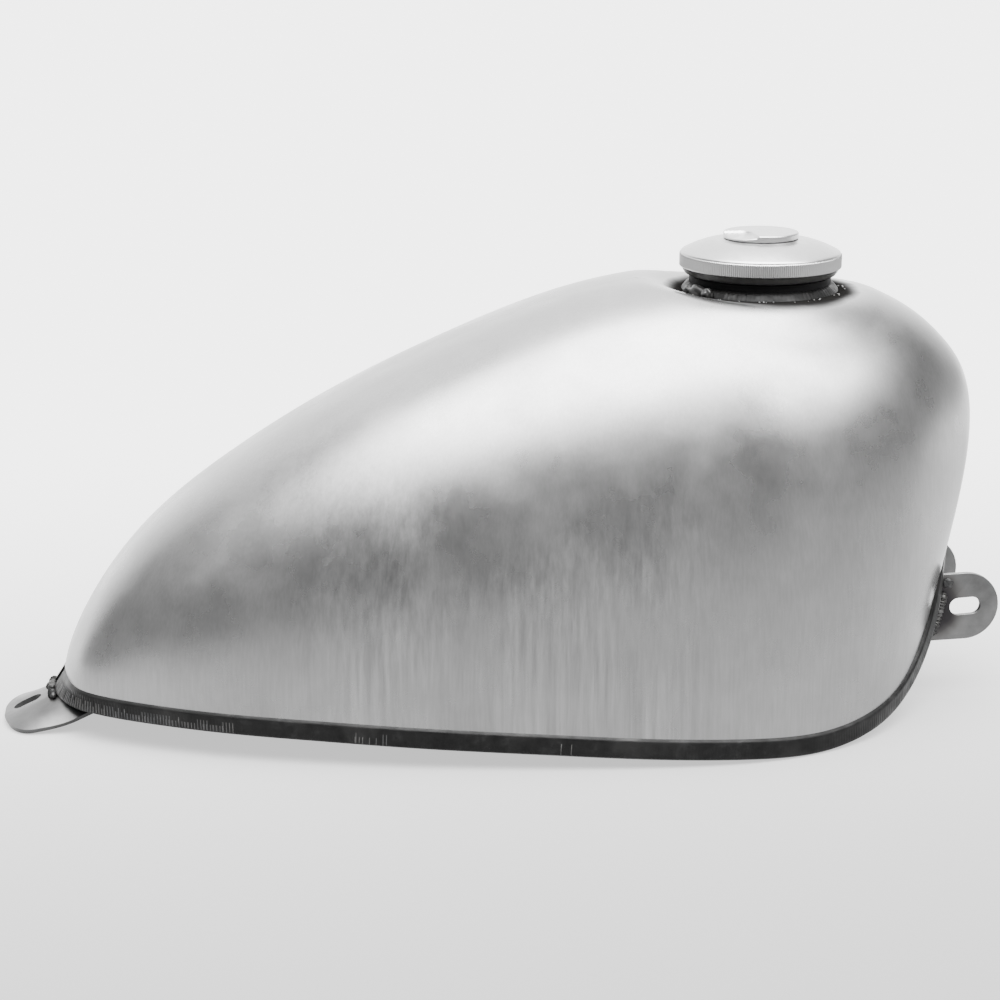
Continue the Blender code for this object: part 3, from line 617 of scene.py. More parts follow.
def plain_look(name, tone, metallic, rough, grain=400, depth=0.03, gloss=0.5):
    """A small part's finish: even colour with fine variation and grain."""
    look = Look(name, metallic=metallic, roughness=rough, Specular_IOR_Level=gloss)
    dark = tuple(c * 0.82 for c in tone)
    light = tuple(min(1, c * 1.1) for c in tone)
    look.colour(look.ramp(look.noise(90, 4), ((0.3, dark), (0.7, light))))
    look.roughness(look.ramp(look.noise(150, 3), ((0.3, rough * 0.85), (0.7, min(1, rough * 1.2)))))
    look.bump(look.noise(grain, 3), depth, 0.4)
    return look.material


skin_metal = skin_look("raw_steel_skin")
# The roller ticks' lighter colour is a painted highlight: it stands in for the light their cut ridges catch.
tick_highlight_metal = weld_look("roller_tick_painted_highlight", 0.05)
lip_metal = lip_look("seam_lip_steel")
weld_metal = weld_look("weld_metal")
ring_metal = weld_look("neck_weld_metal", 0.0035, 0.0)
bright_weld = weld_look("bright_weld_metal", 0.035)
speck_metal = weld_look("spatter_metal", 0.12, 1.0)
pan_metal = pan_look("belly_pan_steel")
# The neck's near-black colour is painted shade: the shade and dark reflection under the cap's rim, painted on
# steel.
neck_black = plain_look("neck_black", (0.0025, 0.0025, 0.0027), 0.0, 0.6, 600, 0.05, 0.08)
cap_metal = cap_look("cap_aluminium", NECK, 0.37)
cover_metal = cap_look("cover_aluminium", NECK, 0.40)
zinc = plain_look("bright_zinc_steel", (0.55, 0.55, 0.56), 1.0, 0.3)
brass = plain_look("lock_brass", (0.60, 0.44, 0.2), 1.0, 0.3)
chrome = plain_look("lock_chrome", (0.72, 0.72, 0.73), 1.0, 0.16, 900, 0.01)
rubber = plain_look("gasket_rubber", (0.02, 0.02, 0.02), 0.0, 0.75, 1200, 0.05)


# ---- the tank's pieces
SKIN_COLUMNS = 190
SKIN_ROWS = 84


def build_skins():
    """The two pressed halves, with the hole for the neck."""
    grid = [[skin(u, pi / 2 * (1 - j / SKIN_ROWS)) for j in range(SKIN_ROWS + 1)]
            for u in shares(SKIN_COLUMNS)]
    for side, rows in (("right", grid), ("left", mirrored(grid))):
        piece = new_piece(side + "_skin", flatten(rows), grid_faces(len(rows), len(rows[0])), skin_metal,
                          slot="raw_steel", replaces=(side + "_shell",))
        thicken(piece, SHEET)
        apply_cut(piece, prism("hole", circle(NECK, NECK_R + 0.3, 96), DISH_Z - 40, DISH_Z + 40))
        piece.data.set_sharp_from_angle(angle=radians(30))
    return grid


def lip_columns(pitch):
    """Shares u spaced evenly along the lip, with how far along it each lies."""
    samples = shares(600)
    travel = [0.0]
    last = seam_frame(samples[0])[0]
    for u in samples[1:]:
        here = seam_frame(u)[0]
        travel.append(travel[-1] + (here - last).length)
        last = here
    count = int(travel[-1] / pitch)
    even = [travel[-1] * k / count for k in range(count + 1)]
    return [(float(np.interp(s, travel, samples)), s) for s in even]


ROLLER_PITCH = 1.6
LIP_STEP = 0.4


def tick_strength(x):
    """How plainly the roller's ticks show: best at the tail, with two fainter groups ahead."""
    groups = ((-75, 10, 0.4), (14, 6, 0.35), (-180, 45, 1.0))
    return max([0.0] + [power * (1 - fade(abs(x - at), reach * 0.6, reach)) for at, reach, power in groups])


def build_lips():
    """The joggled lip that the roller welder left, its tick marks cut into its face, with some tick faces given
    a lighter colour as a painted highlight.
    """
    rows = []
    ticks = []
    rng = np.random.default_rng(7)
    wander = rng.normal(0, 1, 400)
    for i, (u, s) in enumerate(lip_columns(LIP_STEP)):
        here, out, drop = lip_frame(u)
        tall, lean = lip_size(u)
        strong = tick_strength(here.x)
        patch = 0.6 + 0.4 * sin(s / 23 + 1.3 * sin(s / 57))
        wave = 0.5 + 0.5 * cos(2 * pi * s / ROLLER_PITCH)
        cut = (0.12 + 0.4 * strong) * patch * wave
        edge = 0.16 * np.interp(s / 6, range(400), wander)

        def at(o, d):
            return here + out * o + drop * d

        straight = tall - JOGGLE_DROP

        def face(share, sink):
            return at(mix(JOGGLE_OUT, lean, share) - sink, JOGGLE_DROP + straight * share)

        row = [at(-0.25, -0.4), at(0.1, 0.0), at(JOGGLE_OUT * 0.75, 0.7), face(0.03, 0.08),
               face(0.12, cut * 0.4), face(0.3, cut), face(0.55, cut), face(0.8, cut),
               face(0.93, cut * 0.3 + 0.08),
               face(1.0, 0.45 + 0.3 * abs(edge)), face(1.0, SHEET - 0.1), face(0.1, SHEET), at(-SHEET, -0.4)]
        rows.append(row)
        # Some tick faces are chosen for the lighter tick colour, a painted highlight on the cut ridges.
        if i % 4 == 2 and rng.random() < 1.15 * strong:
            first = 5 + (rng.random() < 0.4)
            ticks += [(i, j) for j in range(first, 8 + (rng.random() < 0.5))]
            if rng.random() < 0.45 * strong:
                ticks += [(i - 1, j) for j in range(6, 8)]
    for side, grid in (("right", rows), ("left", mirrored(rows))):
        count = len(grid[0])
        faces = grid_faces(len(grid), count, wrap_columns=True)
        faces = flipped(faces)
        faces += [tuple(range(count)), tuple(reversed(range((len(grid) - 1) * count, len(grid) * count)))]
        lip = new_piece(side + "_seam_lip", flatten(grid), faces, lip_metal, slot="weld_steel",
                        replaces=(side + "_shell",), angle=50)
        lip.data.materials.append(tick_highlight_metal)
        for i, j in ticks:
            lip.data.polygons[i * count + (j if side == "right" else count - 2 - j)].material_index = 1


def build_top_seam(name, start, end, steps):
    """The dressed seam between the skins, ground almost flush with faint ripples."""
    half = SEAM_GAP + 0.2
    rows = []
    for i in range(steps + 1):
        u = mix(start, end, i / steps)
        step = 0.002
        ahead = skin(u + step, 0) - skin(u - step, 0)
        up = Vector((-ahead.z, 0, ahead.x)).normalized()
        top = skin(u, 0)
        ripple = 0.03 * sin(i * 1.7)
        row = []
        for k in range(7):
            y = half * (k / 3 - 1)
            crown = (0.05 + ripple) * (1 - (y / half) ** 2) - 0.03
            row.append(Vector((top.x, y, top.z)) + up * crown)
        row += [Vector((top.x, half - 0.6, top.z)) - up * 1.3, Vector((top.x, 0.6 - half, top.z)) - up * 1.3]
        rows.append(row)
    faces = grid_faces(len(rows), 9, wrap_columns=True)
    faces += [tuple(reversed(range(9))), tuple(range((len(rows) - 1) * 9, len(rows) * 9))]
    faces = flipped(faces)
    new_piece(name.replace("weld", "dressing"), flatten(rows), faces, skin_metal, slot="raw_steel",
              replaces=(name,), angle=60)


def tunnel_section(x, steps):
    spring, rise = spring_line(x)
    low = min(belly_z(min(x, BELLY_END)), spring) - SHEET
    sides = [(-TUNNEL_HALF, mix(low, spring, k / 3)) for k in range(3)]
    arc = [(-TUNNEL_HALF * cos(pi * k / steps), spring + rise * sin(pi * k / steps))
           for k in range(steps + 1)]
    return sides + arc + [(-y, z) for y, z in reversed(sides)]


def build_tunnel():
    rows = []
    count = 60
    for i in range(count + 1):
        far = i / count
        row = []
        for k, (y, z) in enumerate(tunnel_section(mix(TUNNEL_TAIL_X, MOUTH_X, far), 40)):
            x = mix(TUNNEL_TAIL_X, mouth_x(z), far)
            y, z = tunnel_section(x, 40)[k]
            row.append(Vector((x, y, z)))
        rows.append(row)
    tunnel = new_piece("backbone_tunnel", flatten(rows), grid_faces(len(rows), len(rows[0])), pan_metal,
                       slot="pan_steel", replaces=("frame_tunnel",))
    thicken(tunnel, SHEET, 1.0)


def tunnel_rim(u):
    clear = SHEET + RIM_GAP
    half = TUNNEL_HALF + clear
    side_end = ARCH_START - 0.04
    if u < TAIL_END:
        turn = pi / 2 * u / TAIL_END
        x = TUNNEL_TAIL_X + 1
        spring, rise = spring_line(x)
        return Vector((x, -half * sin(turn), spring + (rise + clear) * cos(turn)))
    low = belly_z(BELLY_END)
    if u < side_end:
        along = share_of(u, TAIL_END, side_end)
        x = mix(TUNNEL_TAIL_X + 1, mouth_x(low) - 1, along)
        level = mix(spring_line(TUNNEL_TAIL_X)[0], belly_z(min(x, BELLY_END)), fade(along, 0, 0.12))
        return Vector((x, -half, level))
    climb = share_of(u, side_end, 1)
    spring, rise = spring_line(mouth_x(TUNNEL_FRONT_ROOF))
    straight = spring - low
    travel = climb * (straight + half * pi / 2)
    z = low + travel
    y = half
    if travel > straight:
        turn = (travel - straight) / half
        z = spring + (rise + clear) * sin(turn)
        y = half * cos(turn)
    return Vector((mouth_x(z) - 1, -y, z))


def build_pans():
    """The belly pans, the bung's hole and the bead along the tunnel."""
    inner = 2 * SHEET + 0.3
    rows = []
    rims = []
    for u in shares(150):
        here, out, drop = seam_frame(u)
        lip_here, lip_out, lip_drop = lip_frame(u)
        tall, lean = lip_size(u)
        show = PAN_FLANGE_SHOW * fade(u, 0.02, TAIL_END)
        behind = here - out * PAN_BEHIND
        foot = lip_here + lip_out * (lean - inner) + lip_drop * (tall + show)
        foot = foot.lerp(behind + drop * SHEET, arch_share(u))
        corner = here + out * (JOGGLE_OUT - inner) + drop * PAN_DROP
        corner = corner.lerp(behind + drop * (PAN_DROP + SHEET), arch_share(u))
        rim = tunnel_rim(u)
        soft = corner.lerp(foot, 0.25), corner.lerp(rim, 0.04)
        row = [foot, foot.lerp(corner, 0.5), soft[0], corner.lerp(soft[0], 0.2).lerp(soft[1], 0.3), soft[1]]
        row += [corner.lerp(rim, mix(0.04, 1, k / 12)) for k in range(1, 13)]
        rows.append(list(reversed(row)))
        rims.append(rim)
    for side, grid in (("right", rows), ("left", mirrored(rows))):
        pan = new_piece(side + "_pan", flatten(grid), grid_faces(len(grid), len(grid[0])), pan_metal,
                        slot="pan_steel", replaces=(side + "_belly_pan",))
        thicken(pan, SHEET, even=False)
        if side == "left":
            apply_cut(pan, prism("hole", circle(BUNG, BUNG_R + 0.3, 64), -20, 60))
        sign = -1 if side == "right" else 1
        path = [Vector((p.x, sign * (abs(p.y) - 1.6 if abs(p.y) > 3 else abs(p.y)), p.z + 0.6))
                for u, p in zip(shares(150), rims) if TAIL_END < u < ARCH_START - 0.05]
        bead(side + "_tunnel_bead", path, 1.5, weld_metal, step=1.1)


def smooth_path(path, step):
    """Points spaced evenly along a path."""
    lengths = np.cumsum([0] + [(b - a).length for a, b in zip(path, path[1:])])
    count = max(2, int(lengths[-1] / step))
    even = np.linspace(0, lengths[-1], count + 1)
    columns = [np.interp(even, lengths, [p[k] for p in path]) for k in range(3)]
    return [Vector(p) for p in zip(*columns)], even


def bead(name, path, radius, look, replaces=(), step=0.5, ripple=0.14, pitch=2.2, swell=None):
    """A weld bead: overlapping ripples along a path, with rounded ends."""
    points, travel = smooth_path(path, step)
    rng = np.random.default_rng(3)
    wander = rng.normal(0, 0.05, len(points))
    around = 14
    verts = []
    total = travel[-1]
    for i, (point, s) in enumerate(zip(points, travel)):
        ahead = points[min(i + 1, len(points) - 1)] - points[max(i - 1, 0)]
        ahead.normalize()
        side = ahead.cross(Vector((0, 0, 1)))
        if side.length < 0.1:
            side = ahead.cross(Vector((1, 0, 0)))
        side.normalize()
        up = side.cross(ahead)
        phase = (s / pitch) % 1.0
        scale = 1 + ripple * (1 - phase) ** 1.5 - ripple * 0.5 + wander[i]
        end = min(s, total - s)
        scale *= sqrt(max(0.03, min(1.0, end / radius)))
        if swell:
            scale *= swell(s / total)
        for k in range(around):
            turn = 2 * pi * k / around
            verts.append(point + (side * cos(turn) + up * sin(turn)) * radius * scale)
    faces = grid_faces(len(points), around, wrap_columns=True)
    faces += [tuple(range(around)), tuple(reversed(range((len(points) - 1) * around, len(points) * around)))]
    faces = flipped(faces)
    return new_piece(name, verts, faces, look, "tank", "weld_steel", replaces, 60)


def lump(name, centre, radii, look, seed):
    """A blob of weld: a knobbly closed form."""
    mesh = bmesh.new()
    bmesh.ops.create_icosphere(mesh, subdivisions=4, radius=1)
    rng = np.random.default_rng(seed)
    waves = rng.normal(0, 1, (6, 3))
    phases = rng.uniform(0, 6, 6)
    for v in mesh.verts:
        bulge = sum(sin(3 * Vector(w).dot(v.co) + p) for w, p in zip(waves, phases)) * 0.045
        v.co = Vector((v.co.x * radii[0], v.co.y * radii[1], v.co.z * radii[2])) * (1 + bulge)
        v.co = (v.co + Vector(centre)) * MM
    data = bpy.data.meshes.new(name)
    mesh.to_mesh(data)
    mesh.free()
    data.shade_smooth()
    data.materials.append(look)
    return register(bpy.data.objects.new(name, data), "tank", "weld_steel", ())


def build_neck(grid):
    """The neck with its thread, painted near black as the shade under the cap's rim, and the weld ring laid on
    the dished crown.
    """
    crown_points = flatten(grid)
    mirror = [Vector((p.x, -p.y, p.z)) for p in crown_points]
    columns = len(grid[0])
    quads = grid_faces(len(grid), columns)
    quads += [tuple(i + len(crown_points) for i in quad) for quad in quads]
    edge = columns - 1
    quads += [(j * columns + edge, (j + 1) * columns + edge, (j + 1) * columns + edge + len(crown_points),
               j * columns + edge + len(crown_points)) for j in range(len(grid) - 1)]
    crown = BVHTree.FromPolygons(crown_points + mirror, quads)

    def crown_z(x, y):
        spot = crown.ray_cast(Vector((x, y, 300)), Vector((0, 0, -1)))[0]
        return spot.z if spot else DISH_Z

    top = neck_high.z
    low = neck_low.z
    bore = NECK_R - 3.8
    thread = []
    for k in range(9):
        z = mix(low + 3, top - 2, k / 8)
        thread += [(bore + 0.1, z - 0.75), (bore + 0.1, z - 0.25), (bore + 0.75, z + 0.25),
                   (bore + 0.75, z + 0.5)]
    profile = [(bore + 0.9, top), (NECK_R - 0.5, top), (NECK_R, top - 0.5), (NECK_R, low + 0.5),
               (NECK_R - 0.5, low), (bore + 0.6, low)] + thread
    tube = turned("neck_tube", profile, neck_black, NECK, slot="black_steel",
                  replaces=("filler_neck",), steps=160)
    notch = rectangle(NECK.x + 28, NECK.x + 38, 4.2)
    apply_cut(tube, prism("notch", notch, low - 3, low + 5))
    steps = 720
    rng = np.random.default_rng(11)
    rough = np.convolve(rng.normal(0, 1, steps * 3), np.ones(9) / 9, "same")[steps:2 * steps]
    hump = ((0.0, 3.6), (0.16, 3.5), (0.36, 3.0), (0.58, 2.1), (0.8, 1.0), (0.93, 0.35), (1.0, -0.2))
    rows = []
    for k in range(steps):
        turn = 2 * pi * k / steps
        phase = (turn * 38 / 2.3) % 1.0
        ripple = 0.3 * (1 - phase) + 0.35 * rough[k]
        wide = 0.4 * sin(3 * turn + 1) + 0.25 * sin(7 * turn)
        row = []
        for share, lift in hump:
            radius = NECK_R - 0.2 + (4.0 + 0.5 * wide + 0.3 * ripple) * share
            height = lift * (1 + 0.06 * wide) + ripple * 0.5 * sin(pi * min(1, share + 0.2))
            x = NECK.x + radius * cos(turn)
            y = radius * sin(turn)
            row.append(Vector((x, y, crown_z(x, y) + height)))
        row.append(Vector((NECK.x + (NECK_R - 0.2) * cos(turn), (NECK_R - 0.2) * sin(turn), row[-1].z - 0.2)))
        rows.append(row)
    faces = flipped(grid_faces(steps, 8, wrap_rows=True, wrap_columns=True))
    new_piece("neck_weld_ring", flatten(rows), faces, ring_metal, slot="weld_steel",
              replaces=("filler_neck_weld",), angle=60)
    blobs = ((206, 38.6, (6.0, 3.2, 3.6)), (216, 39.4, (3.2, 2.6, 3.0)), (196, 39.6, (3.6, 2.6, 2.4)))
    for k, (angle, radius, radii) in enumerate(blobs):
        turn = radians(angle)
        x = NECK.x + radius * cos(turn)
        y = radius * sin(turn)
        blob = lump(f"neck_weld_lump_{k + 1}", (0, 0, 0), radii, bright_weld, 20 + k)
        blob.data.transform(Matrix.Translation((x * MM, y * MM, (crown_z(x, y) + 1.6) * MM))
                            @ Matrix.Rotation(turn + pi / 2, 4, "Z"))
    for k in range(26):
        turn = radians(rng.uniform(180, 360))
        radius = rng.uniform(39.2, 43)
        x = NECK.x + radius * cos(turn)
        y = radius * sin(turn)
        size = rng.uniform(0.25, 0.55)
        lump(f"spatter_{k + 1}", (x, y, crown_z(x, y) + size * 0.4), (size, size, size * 0.7), speck_metal,
             50 + k)


def plate_mesh(name, outlines, thickness, matrix, look, soften, **where):
    """A flat plate with rounded edges from closed outlines, the first outside, the others holes."""
    flat = bpy.data.curves.new(name + "_flat", "CURVE")
    flat.dimensions = "2D"
    flat.fill_mode = "BOTH"
    flat.extrude = (thickness / 2 - soften) * MM
    flat.bevel_depth = soften * MM
    flat.bevel_resolution = 2
    flat.offset = -soften * MM
    for outline in outlines:
        spline = flat.splines.new("POLY")
        spline.points.add(len(outline) - 1)
        for point, (x, y) in zip(spline.points, outline):
            point.co = (x * MM, y * MM, 0, 1)
        spline.use_cyclic_u = True
    guide = bpy.data.objects.new(name + "_flat", flat)
    bpy.context.scene.collection.objects.link(guide)
    seen = guide.evaluated_get(bpy.context.evaluated_depsgraph_get())
    mesh = bpy.data.meshes.new_from_object(seen)
    bpy.data.objects.remove(guide, do_unlink=True)
    shape = bmesh.new()
    shape.from_mesh(mesh)
    bmesh.ops.remove_doubles(shape, verts=shape.verts, dist=0.000005)
    bmesh.ops.recalc_face_normals(shape, faces=shape.faces)
    shape.to_mesh(mesh)
    shape.free()
    mesh.transform(matrix)
    mesh.materials.clear()
    mesh.materials.append(look)
    mesh.shade_smooth()
    mesh.set_sharp_from_angle(angle=radians(40))
    mesh.name = name
    return register(bpy.data.objects.new(name, mesh), **where)


def build_front_tab(side, sign):
    """A slotted tab plate, its long bead and the tack at the bead's upper end."""
    cx, cz = TAB_CENTRE
    outline = []
    for k in range(49):
        turn = -pi / 2 + pi * k / 48 + TAB_TILT
        outline.append((cx + TAB_R * cos(turn), cz + TAB_R * sin(turn)))
    for z in (cz + TAB_R - 0.6, cz - TAB_R - 0.6):
        outline.append((mouth_x(z) + 0.5, z))
    slot = stadium(TAB_CENTRE, SLOT_LENGTH, SLOT_WIDTH, TAB_TILT)
    upright = Matrix.Translation((0, sign * TAB_Y * MM, 0)) @ Matrix.Rotation(pi / 2, 4, "X")
    node = side + "_front_tab"
    look = tab_look(node + "_steel", (214, sign * TAB_Y, cz), 24)
    plate_mesh(side + "_tab_plate", (outline, slot), TAB_THICK, upright, look, 0.35,
               body="tank", slot="tab_steel", replaces=(node,))
    path = [Vector((mouth_x(z) + 9.0, sign * (TAB_Y + TAB_THICK / 2 + 1.0), z))
            for z in np.linspace(cz - 15, cz + 8, 24)]
    bead(side + "_tab_bead", path, 2.1, bright_weld, (node + "_weld",), step=0.3, ripple=0.3, pitch=1.9)
    tack_z = cz + 12.5
    lump(side + "_tab_tack", (mouth_x(tack_z) + 9.8, sign * (TAB_Y + TAB_THICK / 2 + 0.8), tack_z),
         (2.7, 1.5, 2.6), bright_weld, 31)


def rear_tab_z(x, y):
    crest = REAR_CREST[1] + REAR_SLOPE * (x - REAR_CREST[0])
    sag = mix(REAR_SAG[0], REAR_SAG[1], fade(share_of(x, REAR_NOSE, REAR_ROOT), 0.0, 0.8))
    over = max(0.0, (abs(y) - REAR_FLAT) / (REAR_HALF - REAR_FLAT))
    return crest - sag * over ** 1.6


def build_rear_tab():
    """The arched tongue with its slot, and the lumpy bead under the lip."""
    rows = []
    nose = REAR_SHOULDER - REAR_NOSE
    columns = 70
    half_steps = 40
    for i in range(columns + 1):
        x = mix(REAR_NOSE + 0.25, REAR_ROOT, (i / columns) ** 1.6)
        ahead = max(0.0, (REAR_SHOULDER - x) / nose)
        half = REAR_HALF * sqrt(max(0.0, 1 - ahead ** 2.4))
        rows.append([Vector((x, half * j / half_steps, rear_tab_z(x, half * j / half_steps)))
                     for j in range(-half_steps, half_steps + 1)])
    look = tab_look("rear_tab_steel", (-214, 0, 16), 22, 0.55)
    tab = new_piece("rear_tab_plate", flatten(rows), grid_faces(len(rows), len(rows[0])), look,
                    slot="tab_steel", replaces=("rear_tab",))
    thicken(tab, TAB_THICK)
    apply_cut(tab, prism("slot", stadium((REAR_SLOT_X, 0), SLOT_LENGTH * 0.85, SLOT_WIDTH), -20, 40))
    tab.data.set_sharp_from_angle(angle=radians(40))
    bevel(tab, 0.4, 3, 50)
    path = []
    for k in range(31):
        y = mix(-13.5, 13.5, k / 30)
        x = REAR_CREST[0] - 1.6 + 0.006 * y * y
        path.append(Vector((x, y, rear_tab_z(x, y) + 1.2)))
    bead("rear_bead", path, 2.0, weld_metal, ("rear_tab_weld",), step=0.3, ripple=0.3, pitch=2.4,
         swell=lambda s: 0.9 + 0.2 * sin(9 * s))
    for k, (y, size) in enumerate(((-5.5, 2.3), (-3.0, 2.7), (0.2, 2.5))):
        x = REAR_CREST[0] - 1.4
        lump(f"rear_bead_lump_{k + 1}", (x, y, rear_tab_z(x, y) + 2.4), (size, size, size),
             weld_metal, 40 + k)


def build_bung():
    """The threaded petcock bung and its fillet weld."""
    top, low = bung_high.z, bung_low.z
    bore = BUNG_BORE
    thread = []
    turns = 9
    for k in range(turns):
        z = mix(low + 1.2, top - 1.2, k / (turns - 1))
        thread += [(bore + 0.05, z - 0.55), (bore + 0.05, z - 0.15), (bore + 0.6, z + 0.2),
                   (bore + 0.6, z + 0.45)]
    profile = [(bore + 0.8, top), (BUNG_R - 0.6, top), (BUNG_R, top - 0.6), (BUNG_R, low + 0.6),
               (BUNG_R - 0.6, low), (bore + 0.9, low)] + thread
    turned("petcock_boss", profile, zinc, BUNG, slot="tab_steel", replaces=("petcock_bung",), steps=96)
    weld_low, weld_high = node_box("petcock_bung_weld")

    def wavy(j, r, z, turn):
        wave = 0.22 * sin(26 * turn) + 0.12 * sin(7 * turn)
        return r + (wave if 0 < j < 5 else 0), z

    profile = [(BUNG_R - 0.1, weld_high.z), (BUNG_R + 2.6, weld_high.z), (BUNG_R + 2.5, weld_high.z - 0.7),
               (BUNG_R + 1.9, weld_high.z - 1.4), (BUNG_R + 1.0, weld_high.z - 1.9), (BUNG_R - 0.1, weld_low.z)]
    turned("petcock_boss_weld", profile, weld_metal, BUNG, slot="weld_steel",
           replaces=("petcock_bung_weld",), steps=208, angle=60, shape=wavy)


# ---- the cap's pieces
KNURL_TEETH = 240


def build_cap():
    """The cap's turned body with a straight-knurled rim."""
    top = cap_high.z
    low = cap_low.z
    dome = [(mix(39.0, 20.2, k / 18), 224.9 + 5.7 * sin(pi / 2 * k / 18) ** 0.95) for k in range(19)]
    outer = [(9.3, top), (18.4, top), (19.4, top - 0.15)] + list(reversed(dome))
    outer += [(39.3, 224.55), (39.35, 224.3), (39.2, 224.1)]
    knurl = [(39.45, 223.9), (39.95, 223.6), (CAP_R, 223.0), (CAP_R, 220.6), (CAP_R, 218.2), (39.95, 217.7),
             (39.45, 217.3)]
    skirt = [(39.0, 217.0), (38.2, 215.6), (37.5, low + 0.3), (37.2, low), (36.7, low), (36.5, low + 0.3)]
    inner = [(36.5, 215.7), (34.2, 215.7), (34.2, 218.0), (26.0, 218.0), (26.0, 222.0), (20.0, 226.0),
             (9.3, 226.0)]
    first = len(outer)
    last = first + len(knurl)

    def toothed(j, r, z, turn):
        if first <= j < last:
            depth = 0.42 if first < j < last - 1 else 0.1
            r -= depth * (0.5 + 0.5 * cos(KNURL_TEETH * turn)) ** 0.8
        return r, z

    cap = turned("cap_body", outer + knurl + skirt + inner, cap_metal, NECK, "cap", "cap_aluminium",
                 ("cap_shell",), steps=KNURL_TEETH * 4, angle=42, shape=toothed)
    pin = ((pin_low.x + pin_high.x) / 2, (pin_low.y + pin_high.y) / 2)
    apply_cut(cap, prism("hole", circle(pin, 1.7, 32), 227.5, 240))


def scoop_depth(x, y):
    """Depth of the thumb scoop at a place on the cover, from the cap's axis."""
    right, back, corner = -5.4, 2.8, 6.2
    px = right - x
    py = back - y
    if px < corner and py < corner:
        inside = corner - sqrt((corner - px) ** 2 + (corner - py) ** 2)
    else:
        inside = min(px, py)
    if inside <= 0:
        return 0.0
    wall = min(1.0, inside / 0.7)
    return wall * (1.0 + 0.13 * min(inside, 12))


def build_cover():
    """The swivel cover: a flat disc with a softened rim, a thumb scoop and a pivot hole."""
    top, low = cover_high.z, cover_low.z
    steps = 240
    radii = [0.0] + [COVER_R * (k / 60) for k in range(1, 58)]
    radii += [COVER_R - 0.75, COVER_R - 0.45, COVER_R - 0.2, COVER_R - 0.05]
    points = []
    for r in radii[1:]:
        for k in range(steps):
            turn = 2 * pi * k / steps
            x, y = r * cos(turn), r * sin(turn)
            edge = max(0.0, r - (COVER_R - 0.8)) / 0.8
            z = top - 0.8 * (1 - sqrt(max(0.0, 1 - edge ** 2))) - scoop_depth(x, y)
            points.append((NECK.x + x, NECK.y + y, max(z, low + 0.9)))
    for r, z in ((COVER_R, low + 0.9), (COVER_R, low + 0.3), (COVER_R - 0.3, low)):
        for k in range(steps):
            turn = 2 * pi * k / steps
            depth = scoop_depth(r * cos(turn), r * sin(turn))
            level = z if z < low + 0.5 else min(top - 0.8 - depth, top - 0.8)
            points.append((NECK.x + r * cos(turn), NECK.y + r * sin(turn), max(level, z)))
    rings = len(radii) - 1 + 3
    faces = grid_faces(rings, steps, wrap_columns=True)
    centre_top = len(points)
    points.append((NECK.x, NECK.y, top))
    centre_low = len(points)
    points.append((NECK.x, NECK.y, low))
    last = (rings - 1) * steps
    faces += [(centre_top, k, (k + 1) % steps) for k in range(steps)]
    faces += [(centre_low, last + (k + 1) % steps, last + k) for k in range(steps)]
    cover = new_piece("cover_disc", points, faces, cover_metal, "cover", "cap_aluminium",
                      ("swivel_cover",))
    pin = ((pin_low.x + pin_high.x) / 2, (pin_low.y + pin_high.y) / 2)
    apply_cut(cover, prism("hole", circle(pin, 1.46, 32), 225, 240))
    pin_top = cover_high.z - 0.03
    profile = [(0.01, pin_top), (1.3, pin_top), (1.4, pin_top - 0.1), (1.4, pin_low.z), (0.01, pin_low.z)]
    turned("cover_pin", profile, cover_metal, pin, "cap", "bright_steel", ("cover_pivot",), steps=40)


def build_plug():
    """The threaded plug, with real ridges, and the gasket with its pressure ring."""
    low, high = node_box("threaded_insert")
    outer = [(27.0, high.z), (33.6, high.z), (33.8, high.z - 0.2), (33.8, 216.2), (33.6, 216.0),
             (29.8, 216.0)]
    ridges = []
    for k in range(9):
        z = 214.2 - 1.9 * k
        ridges += [(29.7, z), (30.35, z - 0.45), (30.35, z - 0.75), (29.7, z - 1.2)]
    profile = outer + ridges + [(29.7, low.z + 0.6), (29.2, low.z), (27.0, low.z)]
    plug = turned("cap_plug", profile, cap_metal, NECK, "cap", "cap_aluminium", ("threaded_insert",),
                  steps=160)
    window = rectangle(NECK.x + 20, NECK.x + 34, 3.4)
    apply_cut(plug, prism("window", window, 192.4, 197.6))
    for node, look, slot in (("cap_gasket", rubber, "gasket_rubber"), ("seal_plate", zinc, "bright_steel")):
        low, high = node_box(node)
        outer_r = (high.x - low.x) / 2
        bulge = 0.15
        profile = [(31.6, high.z), (outer_r - bulge, high.z), (outer_r, (high.z + low.z) / 2),
                   (outer_r - bulge, low.z), (31.6, low.z), (31.4, (high.z + low.z) / 2)]
        turned(node + "_ring", profile, look, NECK, "cap_seal", slot, (node,), steps=128, angle=50)


def finish_carried_nodes():
    """Better materials for the small CAD nodes that keep their shape."""
    looks = {"lock_housing": brass, "lock_cylinder": chrome, "lock_cam": zinc, "cam_screw": zinc,
             "lock_bolt": zinc, "bolt_guide": zinc, "housing_clip": zinc, "baffle_plate": zinc,
             "vent_valve": brass, "vent_spring": zinc, "insert_pin_1": zinc, "insert_pin_2": zinc,
             "insert_pin_3": zinc}
    for node, look in looks.items():
        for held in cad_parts[node].material_slots:
            held.material = look


